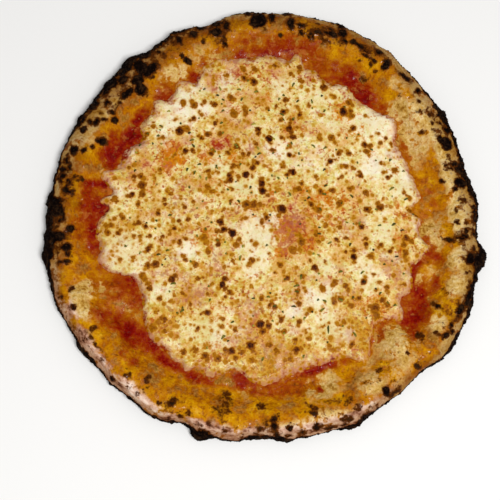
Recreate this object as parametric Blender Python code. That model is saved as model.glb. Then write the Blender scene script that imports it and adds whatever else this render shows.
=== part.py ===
"""A whole cheese pizza, 30 cm across: a hand-stretched crust with a puffed, blistered rim,
a thin layer of tomato sauce and a melted cheese top with herb flakes baked onto it.

Metres, +Z up. The origin is at the middle of the flat base. Angles run anticlockwise from +X.
All three layers use the same rings of points, so that each lies on the one below it.
"""

import math

import bmesh
import bpy
import numpy as np
from mathutils import Matrix, Vector
from mathutils.bvhtree import BVHTree

MM = 0.001

# Plan of the crust
MEAN_RADIUS = 148.3 * MM
STRETCH = 3.0 * MM  # the dough was pulled a little longer one way
STRETCH_TOWARD = 55.0  # degrees

# Section of the crust, from the outer edge inwards
FLOOR_THICKNESS = 4.2 * MM
RIM_HEIGHT = 15.0 * MM
EDGE_HEIGHT = 3.4 * MM  # height of the widest line of the rim
EDGE_TUCK = 2.6 * MM  # how far the base lies inside that line
UNDERCUT = (0.3, 0.4)  # a ring below that line: shares of the tuck and of the edge height
BUMP_SPREAD = 3  # the greater, the closer to the widest line the burnt bumps stay
CREST_INSET = 11.5 * MM
SLOPE_WIDTH = 23.0 * MM
WALL_FULLNESS = 2.3  # 2 is a quarter ellipse, more is squarer
WAVES = ((9, 0.35), (14, 0.35), (23, 0.3), (37, 0.3))  # waves round the edge, millimetres

# The layers on the floor of the crust
LAYER_GAP = 0.3 * MM
SAUCE_THICKNESS = 1.0 * MM
SAUCE_LIP = 0.25 * MM
SAUCE_MARGIN = 2.2 * MM  # least width of sauce that shows round the cheese
CHEESE_RADIUS = 108.5 * MM
CHEESE_THICKNESS = 2.5 * MM
CHEESE_FLANK = 1.1 * MM  # height of the cheese's rounded edge above the sauce
CHEESE_OVERHANG = 0.4 * MM
MOUND_FULLNESS = 1.5  # the greater, the softer a mound's foot
FLOOR_FLAT_INSIDE = 8.0 * MM  # how far inside the cheese's edge the first shared ring runs

# Rings of points
AROUND = 176  # points in a full ring
# Rings of the cheese's top: one in how many points they keep, and their share of its radius.
CHEESE_RINGS = ((8, 0.09), (4, 0.21), (2, 0.34), (2, 0.47), (2, 0.60), (1, 0.72), (1, 0.83),
                (1, 0.925))
CHEESE_SHOULDER = 2.0 * MM  # the last ring of the top, inside the edge
SHOULDER_DROP = 0.2 * MM
SAUCE_STEPS = (0.45, 0.88)  # from the cheese's edge to the sauce's edge
SLOPE_STEPS = (0.25, 0.5, 0.75, 1.0)  # from the sauce's edge up to the crest
WALL_STEPS = (0.4, 0.68, 0.87, 0.97, 1.0)  # from the crest out to the widest line

# Herb flakes
FLAKE_WIDTH = 1.3 * MM
FLAKE_THICKNESS = 0.9 * MM
FLAKE_SUNK = 0.45  # share of its thickness that is baked into the cheese
FLAKE_SIDES = 6
FLAKE_FOOT = 0.5  # radii of its two ends, before it is scaled to its length and width
FLAKE_TOP = 0.42

# Small blisters that swell up all round the rim, and the lumps of the melted cheese
RIM_BLISTERS = 46
RIM_BLISTER_IN = (5.0, 27.0)  # millimetres in from the edge
RIM_BLISTER_RADIUS = (5.0, 10.0)
RIM_BLISTER_HEIGHT = (0.7, 2.3)
RIM_BLISTER_SHIFT = 0.4  # uneven spacing, as a share of the spacing
CHEESE_LUMPS = 64
CHEESE_LUMP_RADIUS = (5.0, 10.0)
CHEESE_LUMP_HEIGHT = (0.25, 0.8)
CHEESE_LUMP_REACH = 0.85  # share of the cheese's area, from the middle
BLISTER_SEED = 7
LUMP_SEED = 11
WAVE_SEED = 3

# Rises (+) and dips (-) of an outline: angle, half width in degrees, reach in millimetres.
RIM_OUTLINE = (
    (90, 115, -1.9), (20, 26, -4.6), (44, 18, -3.8), (97, 8, 1.0), (107, 8, -2.0),
    (125, 6, -1.8), (149, 8, -0.8), (184, 8, 1.8), (192, 9, 3.6), (203, 12, 3.6), (217, 8, 3.2),
    (226, 8, 2.4), (239, 12, 3.2), (247, 4, -1.8), (258, 9, 0.8), (268, 8, -1.0),
    (273, 5, 1.2), (295, 10, 2.0), (323, 10, 5.0), (334, 12, 4.9), (346, 10, 3.0),
    (357, 7, -2.5),
)
# Burnt crumbs and small burst bubbles that stand out low on the edge.
EDGE_BUMPS = (
    (32, 3.5, 3.2), (48, 3, 0.8), (61, 3, 0.9), (70, 4, 1.8), (85, 3, 0.8), (96, 3, 0.9),
    (118, 3.5, 2.6), (133, 4, 1.0), (141, 4, 0.9), (154, 3, 0.7), (177, 3, 1.2),
    (187, 3, 1.0), (192, 3, 2.0), (216, 3, 1.2), (227, 3, 0.6), (252.5, 4, 5.2),
    (266, 3, 1.0), (275, 4, 0.9), (292, 5, 2.8), (305, 4, 1.0), (324, 4, 0.9),
    (350, 5, 5.0),
)
CHEESE_OUTLINE = (
    (4, 5, -9.5), (20, 18, -3.4), (31, 5, -2.6), (39.5, 8, 6.5), (53, 5, -2.2),
    (60.5, 5, 2.4), (67, 3, -1.2), (74, 5, 3.6), (80, 4, 9.0), (90, 16, 8.6),
    (108, 16, 9.2), (119, 3, -3.0), (124.2, 5, 5.6), (132, 3, -2.4), (135, 5, 4.6),
    (151, 6, -6.3), (168, 5, 9.0), (176.2, 3, 6.4), (188, 12, 9.4), (198, 8, 10.0),
    (210, 12, -6.6), (226, 10, 7.0), (237, 12, 9.0), (242, 3, 4.6), (249, 8, 8.0),
    (258, 5, -1.6), (267, 11, 5.8), (288, 14, -2.7), (303.5, 6, 8.2), (315, 9, -4.5),
    (322.4, 5, 5.6), (328, 4, -3.0), (340.8, 5, -5.2), (349.6, 4, 4.4), (356, 6, -3.6),
)
# How much further than its least margin the sauce runs up the rim.
SAUCE_REACH = (
    (46, 5, 3.0), (52.5, 9, 12.0), (60, 6, 9.0), (68, 9, 8.5), (78, 8, 6.0),
    (90, 15, 13.0), (101, 6, 3.5), (119, 4, 4.0), (131, 5, 5.0), (147, 8, 5.0),
    (158, 10, 12.0), (171.5, 5, 9.0), (179, 9, 13.0), (189, 8, 6.0), (209, 13, 25.0),
    (223, 9, 10.0), (235, 12, 6.0), (246, 8, 4.5), (260, 6, 7.0), (271, 9, 3.5),
    (287, 8, 2.0), (321.5, 7, 13.0), (329, 8, 9.0), (337, 6, 6.0), (347, 7, 8.0),
)
RIM_CREST = (
    (15, 18, -1.2), (60, 28, 1.6), (93, 9, 1.2), (120, 22, -1.2), (138, 12, 1.0),
    (165, 18, 0.8), (187, 10, 1.2), (206, 16, -1.0), (232, 24, 1.6), (262, 14, -0.8),
    (285, 16, 1.2), (303, 7, 1.4), (330, 18, 1.4), (349, 7, 1.6),
)
# Bubbles in the dough: angle, distance from the middle, radius and height in millimetres.
DOUGH_BUBBLES = (
    (315, 118.5, 12.5, 5.0), (341.5, 112, 8.5, 2.6), (9, 117, 12, 3.0), (25, 119, 12, 2.2),
    (291, 117, 10, 2.8), (300, 116, 8, 2.2), (355, 115, 8, 2.4), (209, 117, 13, 2.4),
    (53, 113, 10, 1.8), (38, 125, 10, 1.8), (126, 121, 10, 2.0), (205, 134, 9, 1.6),
    (225, 131, 9, 1.8), (241, 131, 12, 1.8), (257, 130, 8, 1.6), (271, 133, 9, 1.2),
    (166, 113, 6, 1.4), (68, 118, 9, 1.4), (96, 126, 9, 1.2), (147, 128, 9, 1.4),
    (182, 127, 9, 1.2), (335, 133, 10, 1.6),
)
# Pools and mounds of cheese: x, y, radius and height in millimetres.
CHEESE_MOUNDS = (
    (81, 67, 21, 1.2), (-101, -20, 16, 1.1), (-52, 73, 20, 1.1), (-1, -17, 17, 1.0),
    (87, 24, 19, 1.2), (-82, 40, 15, 0.7), (18, 88, 18, 0.8), (-12, 52, 16, 0.8),
    (48, 30, 18, 0.7), (-48, 12, 19, 0.9), (52, -42, 20, 0.9), (-30, -58, 18, 0.8),
    (10, -88, 17, 0.9), (-76, -62, 16, 0.8), (84, -30, 17, 0.9), (28, -62, 14, 0.6),
    (-2, 18, 13, 0.6), (-60, -26, 14, 0.6), (70, 0, 13, 0.5), (40, 62, 13, 0.6),
)
# Herb flakes on the cheese: x, y, turn in degrees and length in millimetres.
HERB_FLAKES = (
    (-56, 56, 35, 2.6), (-54, 51, 10, 3.4), (-53, 47, -50, 3.2), (-77, 53, 20, 2.2),
    (-89, 46, 60, 2.6), (-57, 30, 80, 2.8), (-92, 28, 60, 2.2), (-52, 28, 70, 3.0),
    (-48, 25, -60, 2.6), (-44, 24, 80, 2.6), (-49, 34, 15, 3.0), (-37, 32, -30, 2.2),
    (-46, 88, 45, 2.2), (-35, 89, -70, 2.8), (-22, 89, 0, 3.0), (-20, 82, 60, 2.8),
    (-37, 84, 0, 2.6), (-33, 81, -20, 2.4), (-33, 73, 30, 2.4), (-70, 71, 0, 2.2),
    (-75, 60, -30, 2.6), (-34, 64, 20, 2.6), (-12, 64, 20, 3.2), (-33, 57, 80, 2.2),
    (-9, 47, -60, 2.8), (-8, 43, 25, 3.6), (-21, 35, 60, 2.2), (-14, 19, 60, 2.4),
    (-22, 9, -30, 2.4), (-10, 88, 10, 3.4), (6, 83, 60, 2.4), (16, 94, 60, 3.6),
    (19, 82, 45, 2.8), (29, 82, -80, 3.2), (8, 72, -20, 3.4), (16, 69, 70, 3.0),
    (38, 76, 60, 2.8), (2, 54, -30, 2.2), (30, 50, -40, 3.6), (38, 49, 30, 2.8),
    (71, 49, -20, 2.2), (84, 42, 45, 2.6), (93, 34, 10, 2.4), (84, 21, 35, 4.6),
    (37, 33, 40, 2.4), (38, 22, 20, 2.8), (37, 16, -10, 3.4), (56, 15, -50, 3.6),
    (13, 15, -60, 3.0), (94, 14, 30, 3.4), (5, 26, -40, 2.6), (26, 13, 40, 3.0),
    (-77, -6, -30, 2.2), (-68, -2, 10, 2.8), (-69, -26, 10, 2.8), (-75, -29, 15, 3.0),
    (-87, -28, 40, 2.4), (-65, -48, 10, 3.8), (-19, -22, 60, 2.4), (-21, -30, 85, 3.6),
    (-3, -21, 20, 2.2), (-59, -66, 30, 3.4), (-41, -59, 60, 2.6), (-12, -57, 10, 2.4),
    (-2, -56, 0, 2.6), (-26, -73, 30, 2.6), (-32, -83, 45, 4.0), (-6, -97, 60, 2.6),
    (61, -4, 75, 3.2), (75, -5, 15, 2.8), (85, -4, 30, 3.6), (91, -8, 10, 3.2),
    (33, -12, 0, 2.8), (40, -18, 30, 3.4), (54, -19, 60, 2.6), (47, -38, 20, 3.0),
    (62, -38, 35, 3.6), (20, -42, 80, 4.0), (17, -48, 15, 4.2), (17, -52, 0, 2.8),
    (74, -52, 60, 2.8), (47, -57, -30, 3.6), (36, -58, -30, 2.8), (84, -60, 20, 3.0),
    (34, -64, 40, 3.8), (15, -62, 0, 3.2), (22, -70, 60, 2.6), (2, -62, 20, 2.6),
    (38, -77, 88, 5.6), (56, -80, -60, 4.2), (21, -95, 70, 2.8),
)


def swell_sum(angles, swells):
    """Smooth rises and dips along an outline, in metres."""
    total = np.zeros_like(angles)
    for middle, half_width, reach in swells:
        away = np.abs((angles - middle + 180.0) % 360.0 - 180.0) / half_width
        total += reach * MM * np.where(away < 1.0, np.cos(0.5 * math.pi * away) ** 2, 0.0)
    return total


def edge_waves(angles):
    """Slight waves round the edge, where the dough rose unevenly."""
    phases = np.random.default_rng(WAVE_SEED).uniform(0.0, 2.0 * math.pi, len(WAVES))
    total = np.zeros_like(angles)
    for (count, reach), phase in zip(WAVES, phases):
        total += reach * MM * np.sin(count * np.radians(angles) + phase)
    return total


def rim_radius(angles):
    oval = STRETCH * np.cos(2.0 * np.radians(angles - STRETCH_TOWARD))
    return MEAN_RADIUS + oval + swell_sum(angles, RIM_OUTLINE) + edge_waves(angles)


def cheese_radius(angles):
    return CHEESE_RADIUS + swell_sum(angles, CHEESE_OUTLINE)


def sauce_radius(angles):
    return cheese_radius(angles) + SAUCE_MARGIN + swell_sum(angles, SAUCE_REACH)


def crest_height(angles):
    return RIM_HEIGHT + swell_sum(angles, RIM_CREST)


def place(angles, radii):
    """x and y of points given by angle and distance from the middle."""
    return radii * np.cos(np.radians(angles)), radii * np.sin(np.radians(angles))


def mounds(x, y, table):
    """Height of low rounded mounds, each given as x, y, radius and height."""
    height = np.zeros_like(x)
    for middle_x, middle_y, radius, top in table:
        away = np.hypot(x - middle_x * MM, y - middle_y * MM) / (radius * MM)
        height += top * MM * np.clip(1.0 - away ** 2, 0.0, None) ** MOUND_FULLNESS
    return height


def bubble_table():
    """The dough's bubbles, the named ones and the small blisters, with x and y places."""
    rows = [(*place(angle, distance), radius, height)
            for angle, distance, radius, height in DOUGH_BUBBLES]
    draw = np.random.default_rng(BLISTER_SEED)
    for i in range(RIM_BLISTERS):
        angle = (i + draw.uniform(-1.0, 1.0) * RIM_BLISTER_SHIFT) * 360.0 / RIM_BLISTERS
        distance = rim_radius(np.array([angle]))[0] / MM - draw.uniform(*RIM_BLISTER_IN)
        radius = draw.uniform(*RIM_BLISTER_RADIUS)
        rows.append((*place(angle, distance), radius, draw.uniform(*RIM_BLISTER_HEIGHT)))
    return rows


def lump_table():
    """The cheese's named pools and mounds, and small lumps spread between them."""
    rows = list(CHEESE_MOUNDS)
    draw = np.random.default_rng(LUMP_SEED)
    for _ in range(CHEESE_LUMPS):
        distance = CHEESE_RADIUS / MM * math.sqrt(draw.uniform(0.0, CHEESE_LUMP_REACH))
        x, y = place(draw.uniform(0.0, 360.0), distance)
        radius = draw.uniform(*CHEESE_LUMP_RADIUS)
        rows.append((x, y, radius, draw.uniform(*CHEESE_LUMP_HEIGHT)))
    return rows


BUBBLES = bubble_table()
LUMPS = lump_table()


def dough_top(angles, radii):
    """Height of the crust's upper surface."""
    crest = rim_radius(angles) - CREST_INSET
    top = crest_height(angles)
    up_slope = np.clip((radii - crest + SLOPE_WIDTH) / SLOPE_WIDTH, 0.0, 1.0)
    inner = FLOOR_THICKNESS + (top - FLOOR_THICKNESS) * np.sin(0.5 * math.pi * up_slope) ** 2
    out_wall = np.clip((radii - crest) / CREST_INSET, 0.0, 1.0)
    fall = (1.0 - out_wall ** WALL_FULLNESS) ** (1.0 / WALL_FULLNESS)
    outer = EDGE_HEIGHT + (top - EDGE_HEIGHT) * fall
    x, y = place(angles, radii)
    return np.where(radii < crest, inner, outer) + mounds(x, y, BUBBLES) * fall


def ring_angles(count):
    return np.arange(count) * 360.0 / count


def ring(angles, radii, heights):
    x, y = place(angles, radii)
    return np.column_stack([x, y, heights + np.zeros_like(angles)])


def pole(height):
    return np.array([[0.0, 0.0, height]])


def shared_plan():
    """Radii of the rings that all the layers use, at every angle of a full ring."""
    angles = ring_angles(AROUND)
    cheese = cheese_radius(angles)
    sauce = sauce_radius(angles)
    mid, lip = (cheese + step * (sauce - cheese) for step in SAUCE_STEPS)
    return {
        "inner": cheese - FLOOR_FLAT_INSIDE,
        "cheese": cheese,
        "mid": mid,
        "lip": lip,
        "sauce": sauce,
    }


def band_triangles(first, second, inwards):
    """Triangles between one ring and the next, as (ring, place in ring) triples. Each quad is
    split from its inner corner, also on a base, so that layers on one another match."""
    faces = []
    many = max(first, second)
    for i in range(many):
        if first == 1:
            faces.append(((0, 0), (1, i), (1, i + 1)))
        elif second == 1:
            faces.append(((0, i), (1, 0), (0, i + 1)))
        elif first == second and inwards:
            faces.append(((0, i), (1, i), (0, i + 1)))
            faces.append(((0, i + 1), (1, i), (1, i + 1)))
        elif first == second:
            faces.append(((0, i), (1, i), (1, i + 1)))
            faces.append(((0, i), (1, i + 1), (0, i + 1)))
        elif second > first and i % 2 == 0:
            faces.append(((0, i // 2), (1, i), (1, i + 1)))
            faces.append(((0, i // 2), (1, i + 1), (0, i // 2 + 1)))
        elif second > first:
            faces.append(((0, i // 2 + 1), (1, i), (1, i + 1)))
        elif i % 2 == 0:
            faces.append(((0, i), (1, i // 2), (0, i + 1)))
        else:
            faces.append(((0, i), (1, i // 2), (1, i // 2 + 1)))
            faces.append(((0, i), (1, i // 2 + 1), (0, i + 1)))
    return faces


def skin(name, rings, material):
    """A closed solid from rings that run from the middle of its top, over the edge, to the
    middle of its base. A ring has as many points as the last one, twice or half as many."""
    bm = bmesh.new()
    made = [[bm.verts.new(point) for point in points] for points in rings]
    for upper, lower in zip(made, made[1:]):
        pair = (upper, lower)
        inwards = lower[0].co.to_2d().length < upper[0].co.to_2d().length
        for triangle in band_triangles(len(upper), len(lower), inwards):
            bm.faces.new([pair[r][i % len(pair[r])] for r, i in triangle])
    mesh = bpy.data.meshes.new(name)
    bm.to_mesh(mesh)
    bm.free()
    mesh.materials.append(material)
    mesh.shade_smooth()
    obj = bpy.data.objects.new(name, mesh)
    bpy.context.collection.objects.link(obj)
    return obj


def principled(name, colour, roughness):
    material = bpy.data.materials.new(name)
    material.use_nodes = True
    shader = material.node_tree.nodes["Principled BSDF"]
    shader.inputs["Base Color"].default_value = (*colour, 1.0)
    shader.inputs["Roughness"].default_value = roughness
    shader.inputs["Metallic"].default_value = 0.0
    return material


def build_crust(plan, material):
    angles = ring_angles(AROUND)
    bump = swell_sum(angles, EDGE_BUMPS)
    crest = rim_radius(angles) - CREST_INSET
    edge = rim_radius(angles) + bump
    rings = [pole(FLOOR_THICKNESS)]
    for radii in plan.values():
        rings.append(ring(angles, radii, dough_top(angles, radii)))
    for step in SLOPE_STEPS:
        radii = plan["sauce"] + step * (crest - plan["sauce"])
        rings.append(ring(angles, radii, dough_top(angles, radii)))
    for step in WALL_STEPS:
        radii = crest + step * CREST_INSET
        pushed = radii + bump * step ** BUMP_SPREAD
        rings.append(ring(angles, pushed, dough_top(angles, radii)))
    tucked, lowered = UNDERCUT
    rings.append(ring(angles, edge - tucked * EDGE_TUCK, lowered * EDGE_HEIGHT))
    rings.append(ring(angles, edge - EDGE_TUCK, 0.0))
    rings.append(pole(0.0))
    return skin("crust", rings, material)


def build_sauce(plan, material):
    """A thin skin that follows the dough and thins to a lip at its outer edge."""
    angles = ring_angles(AROUND)
    under = [pole(FLOOR_THICKNESS + LAYER_GAP)]
    over = [pole(FLOOR_THICKNESS + LAYER_GAP + SAUCE_THICKNESS)]
    for name in ("inner", "cheese", "mid", "lip"):
        base = dough_top(angles, plan[name]) + LAYER_GAP
        under.append(ring(angles, plan[name], base))
        over.append(ring(angles, plan[name], base + SAUCE_THICKNESS))
    lip_height = dough_top(angles, plan["sauce"]) + LAYER_GAP + SAUCE_LIP
    lip = ring(angles, plan["sauce"], lip_height)
    return skin("sauce", over + [lip] + under[::-1], material)


def cheese_base(angles, radii):
    return dough_top(angles, radii) + 2.0 * LAYER_GAP + SAUCE_THICKNESS


def cheese_top(angles, radii):
    x, y = place(angles, radii)
    return cheese_base(angles, radii) + CHEESE_THICKNESS + mounds(x, y, LUMPS)


def build_cheese(plan, material):
    middle = np.zeros(1)
    rings = [pole(cheese_top(middle, middle)[0])]
    for thinned, share in CHEESE_RINGS:
        angles = ring_angles(AROUND // thinned)
        radii = share * cheese_radius(angles)
        rings.append(ring(angles, radii, cheese_top(angles, radii)))
    angles = ring_angles(AROUND)
    base = cheese_base(angles, plan["cheese"])
    shoulder = plan["cheese"] - CHEESE_SHOULDER
    rings.append(ring(angles, shoulder, cheese_top(angles, shoulder) - SHOULDER_DROP))
    rings.append(ring(angles, plan["cheese"] + CHEESE_OVERHANG, base + CHEESE_FLANK))
    rings.append(ring(angles, plan["cheese"], base))
    rings.append(ring(angles, plan["inner"], cheese_base(angles, plan["inner"])))
    rings.append(pole(cheese_base(middle, middle)[0]))
    return skin("cheese", rings, material)


def flake(collection, at, up, length, turn):
    """One dried herb flake: a small plate that lies along the cheese."""
    bm = bmesh.new()
    bmesh.ops.create_cone(
        bm, cap_ends=True, cap_tris=True, segments=FLAKE_SIDES, radius1=FLAKE_FOOT,
        radius2=FLAKE_TOP, depth=1.0,
    )
    bmesh.ops.scale(bm, vec=(length, FLAKE_WIDTH, FLAKE_THICKNESS), verts=bm.verts)
    bmesh.ops.triangulate(bm, faces=bm.faces)
    mesh = bpy.data.meshes.new("flake")
    bm.to_mesh(mesh)
    bm.free()
    lie = Vector((0.0, 0.0, 1.0)).rotation_difference(up).to_matrix().to_4x4()
    mesh.transform(Matrix.Translation(at) @ lie @ Matrix.Rotation(turn, 4, "Z"))
    obj = bpy.data.objects.new(mesh.name, mesh)
    collection.objects.link(obj)


def scatter_flakes(cheese, collection):
    """Sets each flake down on the cheese, sunk into it by a share of its thickness."""
    bm = bmesh.new()
    bm.from_mesh(cheese.data)
    surface = BVHTree.FromBMesh(bm)
    bm.free()
    down = Vector((0.0, 0.0, -1.0))
    for x, y, turn, length in HERB_FLAKES:
        above = Vector((x * MM, y * MM, 2.0 * RIM_HEIGHT))
        at, up, _, _ = surface.ray_cast(above, down)
        at += (0.5 - FLAKE_SUNK) * FLAKE_THICKNESS * up
        flake(collection, at, up, length * MM, math.radians(turn))


def fuse_flakes(cheese):
    """One union bakes all the flakes into the cheese."""
    collection = bpy.data.collections.new("flakes")
    bpy.context.scene.collection.children.link(collection)
    scatter_flakes(cheese, collection)
    union = cheese.modifiers.new("baked_on", "BOOLEAN")
    union.operation = "UNION"
    union.operand_type = "COLLECTION"
    union.collection = collection
    union.solver = "EXACT"
    bpy.context.view_layer.objects.active = cheese
    bpy.ops.object.modifier_apply(modifier=union.name)
    for obj in list(collection.objects):
        bpy.data.objects.remove(obj, do_unlink=True)
    bpy.data.collections.remove(collection)


def main():
    for obj in list(bpy.data.objects):
        bpy.data.objects.remove(obj, do_unlink=True)
    plan = shared_plan()
    build_crust(plan, principled("baked_dough", (0.52, 0.29, 0.10), 0.75))
    build_sauce(plan, principled("tomato_sauce", (0.36, 0.035, 0.008), 0.35))
    cheese = build_cheese(plan, principled("melted_cheese", (0.80, 0.62, 0.30), 0.40))
    fuse_flakes(cheese)


main()
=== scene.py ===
"""Looks of a whole cheese pizza, 30 cm across: wood-fired dough with a puffed and charred rim,
tomato sauce baked into it, melted mozzarella with toasted spots, and dried oregano.

Metres, +Z up. The origin is at the middle of the flat base. Angles run anticlockwise from +X.
Tables of baking marks are in millimetres, from the middle of the pizza.
"""

import math

import bpy
import numpy as np
from mathutils import Matrix, Vector


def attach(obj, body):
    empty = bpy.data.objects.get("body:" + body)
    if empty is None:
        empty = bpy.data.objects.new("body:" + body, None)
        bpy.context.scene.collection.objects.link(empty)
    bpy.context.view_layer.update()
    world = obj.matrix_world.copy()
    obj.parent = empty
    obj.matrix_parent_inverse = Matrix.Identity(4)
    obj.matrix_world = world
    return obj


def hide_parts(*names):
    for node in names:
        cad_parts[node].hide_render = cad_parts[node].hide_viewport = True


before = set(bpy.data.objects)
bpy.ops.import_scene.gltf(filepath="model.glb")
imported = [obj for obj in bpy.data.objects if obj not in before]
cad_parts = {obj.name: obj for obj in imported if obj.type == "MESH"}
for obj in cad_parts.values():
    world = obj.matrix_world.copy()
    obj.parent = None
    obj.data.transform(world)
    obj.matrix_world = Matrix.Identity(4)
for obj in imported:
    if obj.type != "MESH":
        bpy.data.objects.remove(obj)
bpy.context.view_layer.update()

MM = 0.001

# ------------------------------------------------------------------------------------------
# Camera, floor and light
# ------------------------------------------------------------------------------------------
CAMERA_AIM = Vector((-0.0145, -0.0248, 0.010))
CAMERA_DISTANCE = 0.600
CAMERA_TILT = math.radians(13.5)  # away from straight down
CAMERA_SIDE = math.radians(240.0)  # the side that it leans to
EYE = CAMERA_AIM + CAMERA_DISTANCE * Vector((
    math.sin(CAMERA_TILT) * math.cos(CAMERA_SIDE),
    math.sin(CAMERA_TILT) * math.sin(CAMERA_SIDE), math.cos(CAMERA_TILT)))
LENS = 64.8
SENSOR = 36.0
NEAREST_SEEN = 10.0 * MM
FLOOR_DROP = 0.2 * MM
FLOOR_HALF = 3.0
SOFTBOX_FROM = Vector((0.25, -0.45, 1.3))
SOFTBOX_SIZE = 0.5
SOFTBOX_WATTS = 14.5
SKY_STRENGTH = 0.40

# ------------------------------------------------------------------------------------------
# The dough's form, as the solids have it
# ------------------------------------------------------------------------------------------
MEAN_RADIUS = 148.3 * MM
STRETCH = 3.0 * MM
STRETCH_TOWARD = 55.0
FLOOR_THICKNESS = 4.2 * MM
RIM_HEIGHT = 15.0 * MM
EDGE_HEIGHT = 3.4 * MM
EDGE_TUCK = 2.6 * MM
CREST_INSET = 11.5 * MM
SLOPE_WIDTH = 23.0 * MM
WALL_FULLNESS = 2.3
WAVES = ((9, 0.35), (14, 0.35), (23, 0.3), (37, 0.3))
WAVE_SEED = 3
LAYER_GAP = 0.3 * MM
SAUCE_THICKNESS = 1.0 * MM
SAUCE_MARGIN = 2.2 * MM
CHEESE_RADIUS = 108.5 * MM
CHEESE_THICKNESS = 2.5 * MM
MOUND_FULLNESS = 1.5
RIM_BLISTERS = 46
RIM_BLISTER_IN = (5.0, 27.0)
RIM_BLISTER_RADIUS = (5.0, 10.0)
RIM_BLISTER_HEIGHT = (0.7, 2.3)
RIM_BLISTER_SHIFT = 0.4
CHEESE_LUMPS = 64
CHEESE_LUMP_RADIUS = (5.0, 10.0)
CHEESE_LUMP_HEIGHT = (0.25, 0.8)
CHEESE_LUMP_REACH = 0.85
BLISTER_SEED = 7
LUMP_SEED = 11

# Rises (+) and dips (-) of an outline: angle, half width in degrees, reach in millimetres.
RIM_OUTLINE = (
    (90, 115, -1.9), (20, 26, -4.6), (44, 18, -3.8), (97, 8, 1.0), (107, 8, -2.0),
    (125, 6, -1.8), (149, 8, -0.8), (184, 8, 1.8), (192, 9, 3.6), (203, 12, 3.6),
    (217, 8, 3.2), (226, 8, 2.4), (239, 12, 3.2), (247, 4, -1.8), (258, 9, 0.8),
    (268, 8, -1.0), (273, 5, 1.2), (295, 10, 2.0), (323, 10, 5.0), (334, 12, 4.9),
    (346, 10, 3.0), (357, 7, -2.5),
)
EDGE_BUMPS = (
    (32, 3.5, 3.2), (48, 3, 0.8), (61, 3, 0.9), (70, 4, 1.8), (85, 3, 0.8), (96, 3, 0.9),
    (118, 3.5, 2.6), (133, 4, 1.0), (141, 4, 0.9), (154, 3, 0.7), (177, 3, 1.2),
    (187, 3, 1.0), (192, 3, 2.0), (216, 3, 1.2), (227, 3, 0.6), (252.5, 4, 5.2),
    (266, 3, 1.0), (275, 4, 0.9), (292, 5, 2.8), (305, 4, 1.0), (324, 4, 0.9),
    (350, 5, 5.0),
)
CHEESE_OUTLINE = (
    (4, 5, -9.5), (20, 18, -3.4), (31, 5, -2.6), (39.5, 8, 6.5), (53, 5, -2.2),
    (60.5, 5, 2.4), (67, 3, -1.2), (74, 5, 3.6), (80, 4, 9.0), (90, 16, 8.6),
    (108, 16, 9.2), (119, 3, -3.0), (124.2, 5, 5.6), (132, 3, -2.4), (135, 5, 4.6),
    (151, 6, -6.3), (168, 5, 9.0), (176.2, 3, 6.4), (188, 12, 9.4), (198, 8, 10.0),
    (210, 12, -6.6), (226, 10, 7.0), (237, 12, 9.0), (242, 3, 4.6), (249, 8, 8.0),
    (258, 5, -1.6), (267, 11, 5.8), (288, 14, -2.7), (303.5, 6, 8.2), (315, 9, -4.5),
    (322.4, 5, 5.6), (328, 4, -3.0), (340.8, 5, -5.2), (349.6, 4, 4.4), (356, 6, -3.6),
)
SAUCE_REACH = (
    (46, 5, 3.0), (52.5, 9, 12.0), (60, 6, 9.0), (68, 9, 8.5), (78, 8, 6.0),
    (90, 15, 13.0), (101, 6, 3.5), (119, 4, 4.0), (131, 5, 5.0), (147, 8, 5.0),
    (158, 10, 12.0), (171.5, 5, 9.0), (179, 9, 13.0), (189, 8, 6.0), (209, 13, 25.0),
    (223, 9, 10.0), (235, 12, 6.0), (246, 8, 4.5), (260, 6, 7.0), (271, 9, 3.5),
    (287, 8, 2.0), (321.5, 7, 13.0), (329, 8, 9.0), (337, 6, 6.0), (347, 7, 8.0),
)
RIM_CREST = (
    (15, 18, -1.2), (60, 28, 1.6), (93, 9, 1.2), (120, 22, -1.2), (138, 12, 1.0),
    (165, 18, 0.8), (187, 10, 1.2), (206, 16, -1.0), (232, 24, 1.6), (262, 14, -0.8),
    (285, 16, 1.2), (303, 7, 1.4), (330, 18, 1.4), (349, 7, 1.6),
)
# Bubbles in the dough: angle, distance, radius and height.
DOUGH_BUBBLES = (
    (315, 118.5, 12.5, 5.0), (341.5, 112, 8.5, 2.6), (9, 117, 12, 3.0), (25, 119, 12, 2.2),
    (291, 117, 10, 2.8), (300, 116, 8, 2.2), (355, 115, 8, 2.4), (209, 117, 13, 2.4),
    (53, 113, 10, 1.8), (38, 125, 10, 1.8), (126, 121, 10, 2.0), (205, 134, 9, 1.6),
    (225, 131, 9, 1.8), (241, 131, 12, 1.8), (257, 130, 8, 1.6), (271, 133, 9, 1.2),
    (166, 113, 6, 1.4), (68, 118, 9, 1.4), (96, 126, 9, 1.2), (147, 128, 9, 1.4),
    (182, 127, 9, 1.2), (335, 133, 10, 1.6),
)
# Pools and mounds of cheese: x, y, radius and height.
CHEESE_MOUNDS = (
    (81, 67, 21, 1.2), (-101, -20, 16, 1.1), (-52, 73, 20, 1.1), (-1, -17, 17, 1.0),
    (87, 24, 19, 1.2), (-82, 40, 15, 0.7), (18, 88, 18, 0.8), (-12, 52, 16, 0.8),
    (48, 30, 18, 0.7), (-48, 12, 19, 0.9), (52, -42, 20, 0.9), (-30, -58, 18, 0.8),
    (10, -88, 17, 0.9), (-76, -62, 16, 0.8), (84, -30, 17, 0.9), (28, -62, 14, 0.6),
    (-2, 18, 13, 0.6), (-60, -26, 14, 0.6), (70, 0, 13, 0.5), (40, 62, 13, 0.6),
)
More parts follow.
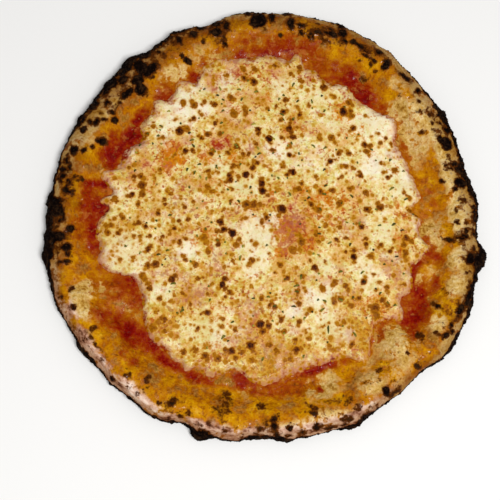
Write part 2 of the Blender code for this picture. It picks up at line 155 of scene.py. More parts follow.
# Herb flakes on the cheese: x, y, turn in degrees and length.
HERB_FLAKES = (
    (-56, 56, 35, 2.6), (-54, 51, 10, 3.4), (-53, 47, -50, 3.2), (-77, 53, 20, 2.2),
    (-89, 46, 60, 2.6), (-57, 30, 80, 2.8), (-92, 28, 60, 2.2), (-52, 28, 70, 3.0),
    (-48, 25, -60, 2.6), (-44, 24, 80, 2.6), (-49, 34, 15, 3.0), (-37, 32, -30, 2.2),
    (-46, 88, 45, 2.2), (-35, 89, -70, 2.8), (-22, 89, 0, 3.0), (-20, 82, 60, 2.8),
    (-37, 84, 0, 2.6), (-33, 81, -20, 2.4), (-33, 73, 30, 2.4), (-70, 71, 0, 2.2),
    (-75, 60, -30, 2.6), (-34, 64, 20, 2.6), (-12, 64, 20, 3.2), (-33, 57, 80, 2.2),
    (-9, 47, -60, 2.8), (-8, 43, 25, 3.6), (-21, 35, 60, 2.2), (-14, 19, 60, 2.4),
    (-22, 9, -30, 2.4), (-10, 88, 10, 3.4), (6, 83, 60, 2.4), (16, 94, 60, 3.6),
    (19, 82, 45, 2.8), (29, 82, -80, 3.2), (8, 72, -20, 3.4), (16, 69, 70, 3.0),
    (38, 76, 60, 2.8), (2, 54, -30, 2.2), (30, 50, -40, 3.6), (38, 49, 30, 2.8),
    (71, 49, -20, 2.2), (84, 42, 45, 2.6), (93, 34, 10, 2.4), (84, 21, 35, 4.6),
    (37, 33, 40, 2.4), (38, 22, 20, 2.8), (37, 16, -10, 3.4), (56, 15, -50, 3.6),
    (13, 15, -60, 3.0), (94, 14, 30, 3.4), (5, 26, -40, 2.6), (26, 13, 40, 3.0),
    (-77, -6, -30, 2.2), (-68, -2, 10, 2.8), (-69, -26, 10, 2.8), (-75, -29, 15, 3.0),
    (-87, -28, 40, 2.4), (-65, -48, 10, 3.8), (-19, -22, 60, 2.4), (-21, -30, 85, 3.6),
    (-3, -21, 20, 2.2), (-59, -66, 30, 3.4), (-41, -59, 60, 2.6), (-12, -57, 10, 2.4),
    (-2, -56, 0, 2.6), (-26, -73, 30, 2.6), (-32, -83, 45, 4.0), (-6, -97, 60, 2.6),
    (61, -4, 75, 3.2), (75, -5, 15, 2.8), (85, -4, 30, 3.6), (91, -8, 10, 3.2),
    (33, -12, 0, 2.8), (40, -18, 30, 3.4), (54, -19, 60, 2.6), (47, -38, 20, 3.0),
    (62, -38, 35, 3.6), (20, -42, 80, 4.0), (17, -48, 15, 4.2), (17, -52, 0, 2.8),
    (74, -52, 60, 2.8), (47, -57, -30, 3.6), (36, -58, -30, 2.8), (84, -60, 20, 3.0),
    (34, -64, 40, 3.8), (15, -62, 0, 3.2), (22, -70, 60, 2.6), (2, -62, 20, 2.6),
    (38, -77, 88, 5.6), (56, -80, -60, 4.2), (21, -95, 70, 2.8),
)

# Rubbed herb dust between the flakes, in millimetres.
HERB_DUST = 110
HERB_DUST_REACH = 100.0
HERB_DUST_LENGTH = (0.9, 2.0)
HERB_DUST_SEED = 61
FLAKE_WIDTH = 1.4 * MM
FLAKE_THICKNESS = 0.9 * MM
FLAKE_SUNK = 0.15 * MM
FLAKE_START = 50.0 * MM  # the height from which the flakes are dropped onto the cheese
FLAKE_DROP = 100.0 * MM  # how far they may fall
FLAKE_CURLS = 1.7  # bends along a flake
FLAKE_CRUMPLE = 1.2 * MM
FLAKE_CRUMPLES = 700.0  # crumples for each metre

# ------------------------------------------------------------------------------------------
# Baking marks on the cheese: x, y, radius and strength from 0 to 1
# ------------------------------------------------------------------------------------------
TOASTED_SPOTS = (
    (-60.5, 77, 2.4, .5), (-53, 74.5, 2.8, .5), (-46, 77.5, 2.3, .6), (-39, 76, 2.6, .7),
    (-62.5, 56, 3.7, .78), (-53, 65, 2.2, .7), (-48, 68, 1.8, .5), (-38.5, 62.5, 1.9, .8),
    (-65.5, 64, 1.6, .4), (-85, 53, 2.2, .6), (-80.5, 58.5, 2.2, .5), (-74, 51, 1.8, .4),
    (-48, 51.5, 2.3, .6), (-43.5, 54.5, 2.2, .6), (-35.5, 55.5, 2.2, .5),
    (-53.5, 43, 2.2, .6), (-58.5, 42, 2.6, .8), (-65.5, 39.5, 1.6, .5), (-41, 41, 2.4, .6),
    (-30, 42, 2.4, .6), (-24, 47, 2.4, .7), (-19.5, 41.5, 2.2, .6), (-15.5, 42, 1.8, .6),
    (-11, 49, 1.8, .6), (-1.5, 53, 3.2, 1.), (-9, 59, 2.6, .8), (-18.5, 50, 1.4, .4),
    (-25.5, 33, 2.6, .85), (-10, 35.5, 2.2, .7), (-13, 32, 2.8, .9), (-17.5, 27, 3.2, .95),
    (-28.5, 26.5, 2.2, .7), (-28.5, 22.8, 3., .75), (-22.5, 25.5, 2., .5),
    (-43, 28.5, 2.4, .6), (-36, 27.5, 1.6, .4), (-6.5, 21, 3., 1.), (-6, 16, 3.4, .9),
    (-43.5, 18.5, 2.2, .45), (-40.5, 14, 2., .45), (-35.5, 19, 1.4, .4), (-26.5, 16, 1.5, .5),
    (-92.5, 23, 2.2, .7), (-88, 23.5, 2.6, .6), (-87, 17.5, 3.4, .65), (-86.5, 11, 2.8, .5),
    (-93.5, 10.5, 2.4, .75), (-104.5, 8, 2.2, .35), (-103, 5.5, 1.6, .5), (-89.5, 4, 1.8, .5),
    (-72, 8, 2., .7), (-71.5, 4.8, 1.8, .7), (-68, 12, 2., .5), (-58.5, 3, 2., .7),
    (-52.5, 6.5, 1.8, .5), (-61, 8.5, 1.6, .4), (-96, 29, 1.8, .5), (-75.5, 28.5, 2.2, .5),
    (-90.5, 39.5, 1.8, .35), (-28.5, 82, 2.6, .5), (-12, 94, 3.4, .7), (-18.5, 96.5, 2.6, .6),
    (-12, 104, 2.2, .5), (-19, 103, 2.4, .4), (-30.5, 97.5, 1.8, .4), (-18.5, 75, 2.2, .4),
    (-17.5, 71.5, 2.2, .5), (-25.5, 69.5, 3.4, .32), (-2.5, 75, 1.6, .5), (-17, 6, 4., .5),
    (-12, 6.5, 3.4, .6), (-28, 8, 1.6, .7), (-32, 2.5, 1.6, .4), (-33.5, 14, 1.4, .4),
    (-79, 22.5, 1.6, .35), (3, 106.5, 2.4, .55), (14, 101, 2.2, .5), (20.5, 106, 2.6, .6),
    (22, 95.5, 2.2, .55), (37.5, 92.5, 3.2, .7), (44.5, 85.5, 2.2, .5), (55, 82, 2.8, .5),
    (10, 81.5, 2.4, .6), (3.5, 77, 1.7, .6), (9, 73, 2.6, .6), (20, 71.5, 2.2, .7),
    (18.5, 76.5, 1.8, .4), (26.5, 77.5, 1.8, .5), (51, 75, 3.9, .88), (57, 72, 2.6, .4),
    (7, 67, 2.2, .5), (13, 65, 2., .6), (12.5, 61, 2.8, .85), (18, 62, 1.8, .5),
    (15.5, 55, 2.8, .8), (7.5, 54.5, 2., .6), (57.5, 63, 2.8, .6), (42, 55.5, 3., .45),
    (34, 54.5, 2.4, .35), (65.5, 51.5, 2.8, .65), (76.5, 53, 2.2, .5), (80.5, 56.5, 1.7, .6),
    (84, 53, 1.8, .5), (67, 46.5, 2.4, .5), (47, 44.5, 2.2, .6), (54, 44.5, 2.4, .55),
    (12.5, 42, 2.4, .75), (.5, 45, 1.8, .6), (41, 38.5, 2.5, .9), (44.5, 39.5, 1.4, .5),
    (51.5, 35, 2.4, .55), (56.5, 34, 1.6, .4), (76.5, 38.5, 1.7, .45), (86, 33.5, 2.4, .5),
    (78, 31.5, 2., .5), (81, 28, 1.9, .75), (62, 29, 2.5, .6), (48.5, 27.5, 1.9, .6),
    (15, 30, 2.7, .95), (11, 28, 1.9, .6), (30.5, 27.5, 2., .45), (21, 22, 1.9, .5),
    (18.5, 18, 2.6, .5), (33.5, 17, 2.2, .6), (42.5, 18, 2.4, .6), (54, 19.5, 2.4, .5),
    (65.5, 17.5, 2.6, .5), (92, 17.5, 1.8, .6), (96, 13.5, 2.4, .45), (75, 7, 3.4, .6),
    (65.5, 5, 2.6, .6), (47, 9, 3., .5), (27, 7.5, 2.6, .65), (7, 3.5, 4.2, .8),
    (102, 3.5, 3.2, .5), (96.5, 6, 2.4, .5), (32, 3, 2.6, .45), (75.5, 59.5, 1.6, .45),
    (8.5, 33.5, 1.8, .4), (13, 48.5, 1.8, .35), (66.5, 72.5, 1.6, .35), (77.5, 79, 1.4, .9),
    (-99, -5, 2.4, .5), (-104.5, -6, 1.8, .4), (-106.5, -10.5, 2.2, .5),
    (-108.5, -16, 2.8, .6), (-101.5, -16, 2.2, .65), (-88.5, -8.5, 2.4, .65),
    (-84, -11, 2.2, .7), (-91.5, -17.5, 1.6, .45), (-87.5, -18, 1.8, .35),
    (-81, -17, 1.6, .6), (-72.5, -17.5, 1.6, .6), (-82, -26, 2.4, .85), (-100, -33.5, 2., .4),
    (-82, -36, 2.2, .55), (-77, -36, 3.2, .7), (-91.5, -32, 1.7, .3), (-85, -44, 3., .45),
    (-80.5, -52, 2.6, .65), (-81.5, -48.5, 1.6, .4), (-74, -59, 2., .5), (-66, -46, 3., .7),
    (-65, -11.5, 1.8, .6), (-62, -6.5, 2., .7), (-68, -15.5, 1.6, .4), (-56, -5.5, 2.1, .65),
    (-76, -1.8, 2., .6), (-61.5, -21, 2.4, .7), (-57, -18.5, 1.8, .6), (-46, -17.5, 3.4, .35),
    (-42.5, -27, 2.2, .5), (-57.5, -32.5, 2., .55), (-50.5, -36, 2.2, .45),
    (-49, -45, 2., .6), (-34.5, -6.5, 2.8, .9), (-32.5, -12, 2.6, .95),
    (-26.5, -13.8, 3.4, 1.), (-36, -22, 2.2, .8), (-22, -18, 2., .45), (-24, -22, 2.6, .35),
    (-13.5, -32, 2.6, .6), (-26, -32.5, 1.6, .45), (-31.5, -37, 1.8, .35),
    (-31.5, -45, 2.6, .85), (-33, -49, 2.4, .95), (-28, -53.5, 2.2, .6), (-31, -57, 1.6, .7),
    (-43, -55, 1.6, .5), (-42.5, -67.5, 2.8, .75), (-59, -55, 1.8, .55), (-53.5, -62, 1.6, .5),
    (-70.5, -72.3, 2.2, .6), (-76, -68, 1.6, .4), (-77.5, -78, 3.4, .4), (-70, -80, 1.8, .35),
    (-48.5, -77.5, 1.8, .6), (-33, -76.5, 2.2, .5), (-32.5, -71.5, 1.6, .45),
    (-24, -78.5, 1.8, .55), (-57.5, -93.5, 2.2, .55), (-49.5, -92.5, 2.2, .5),
    (-43.5, -95.5, 3., .55), (-35.5, -97.5, 2.8, .55), (-26.5, -92.5, 3., .75),
    (-24, -96.5, 2.2, .5), (-14, -88.5, 3.8, .8), (-20, -93, 2., .5), (-13.5, -98, 2.6, .45),
    (-8, -74.5, 3.4, .95), (-2.5, -75.5, 2.8, .65), (-7, -57.5, 2., .5), (-1.5, -61.5, 1.9, .65),
    (-1.5, -88, 2., .6), (-3.5, -2.5, 2.2, .6), (-6.5, -6, 1.9, .6), (-2, -27, 1.6, .45),
    (-11, -21, 2.4, .3), (-17.5, -3.5, 1.8, .4), (-39.5, -48.5, 1.6, .4),
    (61.5, -7, 2.8, .85), (46.5, -8, 1.8, .5), (37, -7, 2.4, .4), (44, -16, 1.9, .75),
    (50.5, -15, 1.8, .65), (30, -13.5, 1.8, .5), (32, -18.5, 2., .5), (64.5, -19, 2.2, .8),
    (65, -15, 1.8, .6), (75, -19.5, 2.2, .6), (84, -16, 1.4, .6), (92.5, -14, 3., .7),
    (91, -19, 2.6, .5), (92, -24, 2.8, .55), (81, -24, 2.2, .75), (50.5, -24.5, 1.6, .65),
    (56, -28, 2.9, .95), (56, -32, 1.8, .5), (67.5, -27.5, 2.6, .45), (29, -36, 2.6, .8),
    (26, -31, 1.7, .55), (36, -31.5, 1.4, .45), (6, -34.5, 2.4, .5), (10.5, -43.5, 2., .65),
    (20.5, -42, 2.2, .45), (42.5, -45.5, 2.6, .55), (49.5, -48, 2.4, .55),
    (62, -45, 2.8, .75), (73, -45, 1.5, .4), (78, -48, 2.2, .5), (69, -39.5, 1.4, .4),
    (90, -45.5, 1.8, .45), (70.5, -51, 1.4, .45), (75, -57, 2.8, .7), (77.5, -60, 2.6, .6),
    (70, -62, 3.6, .6), (66, -61.5, 2., .5), (71, -67.5, 2.8, .4), (58.5, -56, 2.2, .6),
    (54, -56, 1.6, .5), (46.5, -57, 2.8, .5), (42, -59.5, 2.4, .65), (53, -61.5, 2.4, .5),
    (34.5, -50.5, 2.6, .4), (22.5, -52, 1.8, .35), (17.5, -52.5, 2.2, .5), (18.5, -61, 2., .65),
    (25.5, -64.5, 2.6, .4), (18.5, -72.3, 2.2, .6), (6, -71.5, 2.4, .7), (48.5, -72.5, 2.2, .45),
    (33.5, -75.5, 1.4, .4), (15.5, -84.5, 2., .5), (24.5, -83.5, 2.2, .35), (53.5, -86.5, 2.2, .6),
    (16, -91, 2.8, .7), (12, -97, 2.6, .45), (2.5, -91.5, 2.2, .5), (38.5, -88.5, 2., .4),
    (8, -79, 2.2, .45), (22.5, -79.5, 1.6, .4), (2, -63, 2.2, .6), (20, -18.5, 3.2, .5),
    (14, -24.5, 3.4, .45), (2, -40, 1.3, .7),
)
# Smooth pale pools of mozzarella.
PALE_POOLS = (
    (-60, 74, 11, .9), (-46, 73, 5, 1.), (-67, 62, 7, .9), (-77, 76, 4.5, .8),
    (-95, 42, 6, .6), (-106, 12, 6, .7), (-99, -28, 13, 1.), (-55, -26, 7, .9),
    (-9, -16, 12, 1.), (-12, -36, 9, .8), (-19, 18, 7, 1.), (-37, 33, 7, .8),
    (-72, -55, 8, .8), (-42, -76, 12, .9), (-35, -84, 8, .7), (-50, -104, 6, .5),
    (-27, -106, 8, .6), (66, 66, 8, 1.), (74, 67, 11, 1.), (70, 38, 10, .9), (82, 37, 6, .6),
    (93, 24, 10, 1.), (98, 33, 5, .5), (75, -8, 8, .8), (103, -8, 6, .6), (28, -57, 7, 1.),
    (38, -52, 6, 1.), (35, -36, 6, .8), (38, -75, 12, .9), (48, -80, 7, .7), (15, -65, 5, .8),
    (42, -93, 7, .6), (3, -4, 4, .9), (34, 86, 9, .6), (47, 95, 6, .7), (4, 45, 8, .8),
    (46, 66, 10, .6), (-50, 85, 7, .6), (-30, 91, 7, .5), (5, 90, 8, .5), (66, -44, 9, .8),
    (60, -35, 7, .7), (24, -98, 6, .5), (-84, -20, 6, .5), (85, 72, 6, .6), (22, 34, 7, .5),
    (88, 58, 7, .8),
)
# Broad areas of the cheese that are paler, above zero, or browner, below zero.
CHEESE_TONES = (
    (74, 67, 17, 1.3), (69, 24, 12, 1.), (45, 37, 16, .8), (20, 47, 16, .5), (-62, 64, 17, .8),
    (-23, 73, 9, .7), (-76, 43, 12, .4), (88, 42, 11, 1.), (-104, -23, 16, -1.3),
    (-55, -67, 16, -1), (-70, -72, 12, -.6), (-4, -14, 9, -.5), (-40, -33, 9, -.4),
    (50, -67, 17, -.7), (53, -87, 17, -1), (-37, -99, 16, -1), (-14, -102, 16, -1.1),
    (9, -99, 16, -1), (32, -96, 16, -1), (70, -84, 12, -.8), (27, 4, 9, -.4), (79, 6, 9, -.4),
    (96, -30, 9, -.8), (9, -74, 12, .5), (-87, -50, 9, .5), (100, -5, 8, .7), (101, 12, 8, .9),
    (96, 33, 8, .7), (88, -58, 9, .6), (97, -42, 8, .6),
)
# Thin places where the sauce shows through, from a pink blush to red.
THIN_PLACES = (
    (-37, 47, 5.5, 1.), (-30, 50, 4.5, .8), (-84.5, 32.5, 3.6, .85), (13.5, 5, 5., .85),
    (13, -3, 4., .25), (-66, 87, 4.5, .5), (-57.5, 87, 4.5, .5), (-45, 98, 6., .35),
    (90, 56, 5., .8), (97.5, 40, 3.5, .8), (28, 57.5, 3.6, .42), (49, -69, 4.2, .45),
    (38, -45, 6., .35), (-58, 18, 6., .35), (-57, 22, 5., .3), (74, 47.5, 4., .3),
    (88, -37, 6., .35), (20, 104, 4., .6), (2, 97, 5., .4), (20, 98, 4., .4),
    (35, -35, 3., .2), (-49, -26.5, 3., .4), (-40, -26, 4., .3), (-63, 100, 4., .4),
    (-54, 97, 4., .9), (-108, 27, 4.5, .75), (-68, -48, 5., .3), (-35, -38, 6., .3),
    (-60, 20, 5., .25), (-30, -5, 4., .3), (57, 18, 3., .3), (30, 13, 5., .3),
    (40, 14, 5., .3), (104, 2, 4.5, .6), (2, -92, 4., .35), (-62, -84, 5., .35),
    (36, -96, 7., .5), (-4, -12, 3., .2), (58, 22, 4., .3), (-44, 34, 4., .35),
    (78, 79, 4., .7), (30, -30, 2.6, .4), (-48, -104, 4., .5), (87, -55, 5., .45),
    (-72, 80, 7, .6), (-62, 88, 7, .55), (-40, 92, 7, .6), (-20, 99, 8, .66), (5, 102, 7, .6),
    (25, 99, 7, .64), (38, 95, 5, .5), (-78, 70, 6, .5), (62, 84, 6, .5), (52, 88, 5, .55),
    (-12, 86, 7, .4), (-95, 60, 6, .5), (98, 50, 5, .6), (101, 15, 4, .5), (-30, 74, 6, .35),
    (105, 8, 4, .6), (102, 22, 4, .55), (98, 34, 4, .5), (70, -83, 4, .4), (-78, -76, 5, .4),
    (-104, 36, 4, .4), (-20, -107, 5, .35), (10, -104, 5, .35),
    (32, -100, 5, .8), (42, -95, 5, .6), (22, -103, 4, .6), (54, -90, 4, .5),
)
# Orange oil that has run out of the sauce and lies on the cheese.
OIL_PATCHES = (
    (12, -11, 11, .8), (24, -18, 9, .6), (8, -24, 8, .5), (36, 12, 11, .5), (46, 8, 10, .45),
    (-68, 38, 9, .85), (-72, 31, 6, .6), (-44, 39, 9, .5), (-25, 40, 7, .5), (-14, 5, 9, .5),
    (-33, -66, 9, .25), (-20, -45, 9, .3), (-45, -18, 8, .45), (51, 75, 8, .5),
    (72, -62, 9, .55), (91, -18, 8, .55), (-4, 86, 7, .35), (-25, 70, 8, .3), (-14, 97, 9, .35),
    (-40, 14, 8, .35), (-87, 17, 8, .25), (16, 61, 8, .35), (56, 60, 7, .3), (66, 47, 6, .25),
    (90, 4, 8, .35), (-79, -77, 6, .35), (-37, -95, 9, .35), (-8, -75, 7, .4), (42, -7, 7, .35),
    (60, -20, 7, .2), (22, 18, 8, .4), (30, 2, 8, .5), (1, 12, 8, .35),
)

# ------------------------------------------------------------------------------------------
# Baking marks on the dough: angle, distance, half length round, half length out, strength
# ------------------------------------------------------------------------------------------
CHAR_MARKS = (
    (2.5, 143, 7, 1.6, .9), (10, 142.3, 8, 1.4, .9), (6, 135.5, 1.6, 2.6, .7),
    (11.5, 137, 4.4, 3.6, .95), (15.5, 138.5, 1.8, 3.2, .9), (10, 132, 2., 1.8, .85),
    (3, 130, 1.6, 1.2, .7), (15.5, 130, 1.6, 1.2, .6), (20, 134.5, 2.4, 1.4, .7),
    (24, 137, 4.8, 4.2, 1.), (27.5, 142, 3, 2.4, .9), (32, 146, 4, 3.4, 1.),
    (33, 138, 2.6, 1.8, .7), (29, 138.5, 3.4, 2.4, .6), (36.5, 134, 2.4, 1.8, .6),
    (41.5, 141.5, 2.4, 2.2, .9), (47, 142.5, 5, 1.6, .9), (53.5, 139.5, 2.8, 4.4, 1.),
    (57.5, 144.8, 3.4, 1.8, .9), (55, 131, 1.5, 1.8, .7), (56.5, 121, 2.8, 2.8, .7),
    (47, 131.5, 1.3, 1.3, .6), (61, 141, 4.4, 2, .8), (65, 142, 2.2, 2.4, .8),
    (69, 144.5, 3.4, 3, 1.), (70, 149, 3, 2, 1.), (72, 141, 5.4, 2.4, .85),
    (77, 133, 1.3, 1.8, .6), (79, 138.5, 2, 2, .6), (84, 141, 2.8, 4.4, .95),
    (89.5, 144, 2.4, 3.4, .95), (85, 148, 2.6, 1.2, .9), (93.5, 141.8, 5.8, 6, 1.),
    (96.5, 147.5, 2.6, 1.4, .8), (103, 140, 2.4, 3.4, .8), (104.5, 134, 2.2, 6, .72),
    (104.5, 126.5, 1.3, 2.8, .8), (107, 139, 3.4, 3.4, .75), (110.5, 142, 3.4, 2.4, .9),
    (109, 136, 2.4, 1.8, .55), (118, 123, 2.2, 2.8, .85), (117.5, 132, 1.8, 3.6, .5),
    (118.5, 144.5, 3.6, 2.6, .75), (119, 136.5, 2.6, 2.4, .6), (122, 142, 2.6, 1.5, .9),
    (124, 133.5, 2, 2.2, .7), (128, 141, 6, 2.6, .9), (131.5, 136.5, 4.2, 6.4, 1.),
    (128.5, 130.5, 3.6, 3.4, .9), (134, 129.5, 3.4, 2.4, .85), (136.5, 124, 3.4, 5, 1.),
    (136.5, 131.5, 2., 1.8, 1.), (139.5, 129, 4.6, 3, .95), (138, 137, 4.6, 2.6, .85),
    (135, 141.5, 7, 2.2, .9), (141.5, 141, 8, 4, 1.), (146, 134.8, 2.2, 1.9, .9),
    (148, 140.5, 3.4, 2.4, .9), (149.5, 124, 2.6, 2.6, .85),
    (145, 129, 2.4, 1.3, .7), (147.5, 128.5, 1.3, 1.8, .8), (142.5, 123.5, 2, 2, .5),
    (152.5, 133.2, 2.7, 2., 1.), (154, 142, 3.2, 1.8, .9), (153.5, 137, 1.8, 2.2, .8),
    (156.5, 138.5, 2.2, 2.3, .8), (157.5, 124.5, 2.6, 3.4, .9), (160, 128.5, 1.6, 1.5, .8),
    (163, 138.5, 3.2, 2.6, 1.), (162, 133, 2., 1.9, .9), (166.5, 141, 2., 1.7, .8),
    (169, 141, 2., 2.3, .9), (172, 142, 1.8, 2.4, .8), (172, 136.5, 2.4, 1.8, .8),
    (170.5, 131, 1.3, 2.4, .7), (175, 133.5, 2.4, 1.5, .7), (178, 147.5, 2.8, 1.4, .9),
    (180, 143, 5, 5, .85), (183, 147.5, 9, 2.6, .9), (187, 150, 7, 2.6, .95),
    (191.5, 150, 6, 3.6, 1.), (192, 153, 2.8, 2, 1.), (187.5, 143, 3.6, 6.4, .95),
    (182, 138, 3, 1.5, .85), (185.5, 134, 2.4, 2.4, 1.), (190.5, 137.5, 2.6, 3.4, .95),
    (194.5, 141, 1.5, 3.8, .8), (191, 143.5, 2.6, 2.4, .7), (206.5, 144.5, 2., 2.4, .78),
    (214, 140, 1.7, 2.2, .7), (203.5, 138.5, 1.2, 1.7, .52), (218, 139, 1.3, 2., .43),
    (212, 124, 2., 2.2, .48), (216, 145.5, 1.2, 1.6, .7), (218, 144, 3.6, .7, .7),
    (229, 142.5, 1.6, 2.3, .74), (227, 151, 2., 1.3, .83), (234, 136, 1.9, 2.9, .74),
    (235.5, 143, 1.4, 1.5, .61), (242.5, 140, 2., 3.8, .74), (247.5, 143, 1.6, 1.3, .7),
    (252, 152, 3.4, 3.4, .8), (256.5, 130, 4.2, 6.2, .63), (250, 131, 1.2, 4, .35),
    (266.5, 127.5, 1.9, 2.3, .7), (267, 141.5, 2., 1.3, .7), (270.5, 138, 2.6, 4.4, .83),
    (274.5, 141.5, 2.7, 2.8, .83), (282, 143.5, 2.6, 2.4, .78), (282, 133, 2.6, 3.2, .7),
    (281.5, 130, 1.4, 1.8, .7), (274.5, 129, 1.6, 1.8, .52), (285, 134, 3.4, 2.4, .43),
    (288, 133, 3.4, 2.4, .43), (292, 133.5, 3, 3.3, .65), (294, 140, 2.5, 2.3, .7),
    (290, 144, 3.6, 1.9, .7), (298, 144.5, 3, 1.3, .61), (303, 139.5, 2.9, 3.5, 1.),
    (305, 143.5, 3.5, 1.3, .7), (304.5, 126, 1.3, 1., .7), (321.5, 129, 1.9, 2.8, .7),
    (325, 137, 1.3, 2.3, .7), (326, 143, 2.5, 1.6, .9), (329, 142.5, 2., 1.5, .9),
    (332, 128, 1.9, 3.3, .85), (334, 143.5, 4.6, 2.4, 1.), (339, 146, 9, 2.4, .95),
    (348.5, 147.5, 8, 4.4, 1.), (349, 141, 4.4, 3.3, .9), (355, 134, 2.6, 5.2, .85),
    (353.5, 125, 1.7, 4.3, .75), (357, 137, 1.9, 1.9, .8), (359.5, 130.5, 1.6, 1.6, .8),
    (357, 141.5, 2.6, 1.4, .8), (130, 130.5, 7, 3.4, 1.), (132, 135.5, 3.6, 5, 1.),
    (140, 129, 6, 2.8, 1.), (134.5, 131.5, 6, 2.2, .95), (135.8, 125.5, 3.2, 5.6, 1.),
    (123, 142.5, 5, 1.8, .95), (128, 141.5, 6, 2.8, 1.), (135, 141.5, 8, 2.8, 1.),
    (142, 140.5, 7, 3.2, 1.), (149, 142, 5, 2, 1.), (155, 143, 4, 1.6, .9),
    (57, 145.5, 4, 1.2, .9), (63, 141.5, 5, 1.6, .9), (60, 137.5, 3, 1.4, .75),
    (67.5, 140, 2.4, 1.6, .85), (73, 144, 3, 1.4, .9), (75.5, 139, 4, 1.4, .85),
    (73, 136, 3, 1.2, .8), (77.5, 135, 2.4, 2.4, .8), (80.5, 135.5, 2, 2, .8),
    (81, 141.5, 3, 1.4, .8), (106, 136, 4, 3.4, .9), (105.5, 141.5, 4, 2, .9),
    (113, 139, 3, 2, .8), (115, 143.5, 4, 1.4, .85), (117.5, 139.5, 2.4, 4, .8),
    (252.5, 153, 6, 4, 1.), (180.5, 139.5, 4, 1.6, .85), (178, 143.5, 3.4, 4.6, 1.),
    (188, 146, 5, 4, 1.), (168, 138.5, 2.4, 1.3, .85), (174, 138, 3, 1.2, .85),
    (12, 135, 3.4, 2.6, 1.), (26, 134.5, 3, 2, .9), (17.5, 136, 1.6, 2.4, .9),
    (263, 148.5, 1.8, 1.3, .85), (258, 146.5, 1.4, 1., .75), (271, 145.5, 1.8, 1.2, .85),
    (246, 146, 1.3, 1., .75), (295, 146, 2.2, 1., .8), (285, 146.5, 2.6, 1., .75),
    (278, 145.5, 1.6, 1., .75), (240, 145.5, 1.2, 1., .7), (222, 148, 1.2, .9, .7),
    (289, 147, 1.8, 1., .8), (234, 147.5, 1.1, .9, .7), (266, 145.8, 1.3, 1., .75),
    (251, 147, 1.6, .9, .7), (274, 146.5, 2., .9, .75), (299, 146.5, 2.4, .9, .75),
)
# Where the sauce is redder or paler: strength runs from 0, golden oil, to 1, deep red.
SAUCE_TINTS = (
    (8, 115, 22, 9, .2), (8, 115, 5, 4, .42), (15, 105.5, 20, 2.4, .3), (31, 105.5, 8, 4, .5),
    (45, 112, 5, 6, .55), (54, 112, 12, 9, .8), (52, 109, 5, 5, .95), (61, 117, 7, 9, .86),
    (66, 114, 6, 8, .64), (73, 117, 9, 11, .52), (77, 128, 8, 7, .62), (84, 122, 12, 9, .72),
    (88, 121, 6, 5, .82), (84, 129, 10, 5, .58), (93, 120, 10, 9, .6), (91, 117, 6, 4, .8),
    (97, 126, 10, 8, .45), (101.5, 116, 5.5, 4, .92), (106, 119, 8, 8, .42),
    (113.5, 116, 2.4, 7, .5), (119, 109, 3.6, 6, .78), (131.5, 110, 6, 6, .86),
    (130, 115, 7, 6, .45), (145, 111, 10, 4, .82), (151.5, 106.5, 7, 6, .97),
    (157, 112, 8, 7, .93), (155, 118, 8, 5, .7), (161, 117, 5, 6, .88), (163, 113, 5, 4, .85),
    (171.5, 117, 3.6, 9, .97), (176, 123, 10, 5, .76), (178, 114, 6, 6, .88),
    (183, 122, 9, 7, .82), (188, 120, 7, 5, .92), (181, 112, 5, 5, .85), (186, 128, 12, 5, .42),
    (192, 119, 5, 5, .7), (208, 112, 22, 11, .56), (209, 104.5, 15, 3, .76),
    (204, 124, 9, 6, .36), (212, 131, 7, 5, .68), (216, 126, 6, 6, .76), (222, 123, 10, 6, .97),
    (228, 119, 8, 5, .88), (228, 133, 4, 4, .58), (224, 134, 4, 3, .58), (236, 121, 9, 4, .92),
    (245, 120.5, 7, 3.4, .94), (249.5, 119, 6, 3, .7), (260, 113, 7, 6, .86),
    (267, 116, 11, 5, .6), (276, 116, 16, 6, .6), (286, 108, 11, 3, .93), (291, 106.5, 6, 4, .82),
    (285, 121, 2.2, 2.8, .8), (312, 107.5, 13, 4, .48), (320.5, 124, 4, 8, .68),
    (325, 120, 7, 7, .93), (328.5, 121, 4.5, 5, .82), (322, 115, 4.5, 5, .76),
    (331, 113, 11, 9, .72), (333, 114, 4.5, 5, .88), (339, 121.5, 7, 3.4, .66),
    (340, 104.5, 11, 3, .82), (347.5, 115, 5.5, 10, .7), (352, 108, 5, 3.4, .5),
    (252, 118, 8, 3, .6), (299, 108, 8, 3, .5), (39, 106, 6, 2.4, .35), (109, 114, 9, 4, .3),
)
# Dough that stayed bare or was lifted clear of the oil.
BARE_PATCHES = (
    (4, 131, 14, 7, .85), (14, 128, 7, 5, .5), (30, 118, 15, 12, .85), (38, 122, 14, 13, .95),
    (36, 130, 7, 5, 1.), (47, 134, 7, 6, .7), (22, 131, 8, 5, .5), (112, 121, 10, 9, .55),
    (124, 118, 13, 8, .85), (127, 112, 10, 7, .7), (158, 133.5, 12, 5, .5),
    (149, 134, 10, 5, .45), (168, 140, 8, 5, .4), (183, 142, 8, 6, .75), (204, 133, 7, 13, .9),
    (208, 141, 9, 6, .85), (198, 146, 6, 5, .4), (216, 148, 8, 5, .6), (233, 147, 10, 4, .7),
    (286, 118, 13, 11, .72), (301, 130, 10, 8, .7), (308, 134, 8, 9, .55),
    (315, 120, 15, 13, .8), (312, 132, 12, 9, .55), (328, 134, 8, 6, .9), (340, 135, 10, 6, .9),
    (348, 131, 8, 5, 1.), (341, 112, 13, 8, .55), (354, 113, 12, 9, .75), (0, 120, 5, 8, .5),
    (24, 110, 12, 5, .5), (283, 140, 12, 6, .8), (262, 121, 6, 5, .3), (273, 126, 6, 5, .25),
    (168, 113, 5, 6, .8), (217, 115, 4, 4, .5), (303, 117, 6, 7, .4),
)
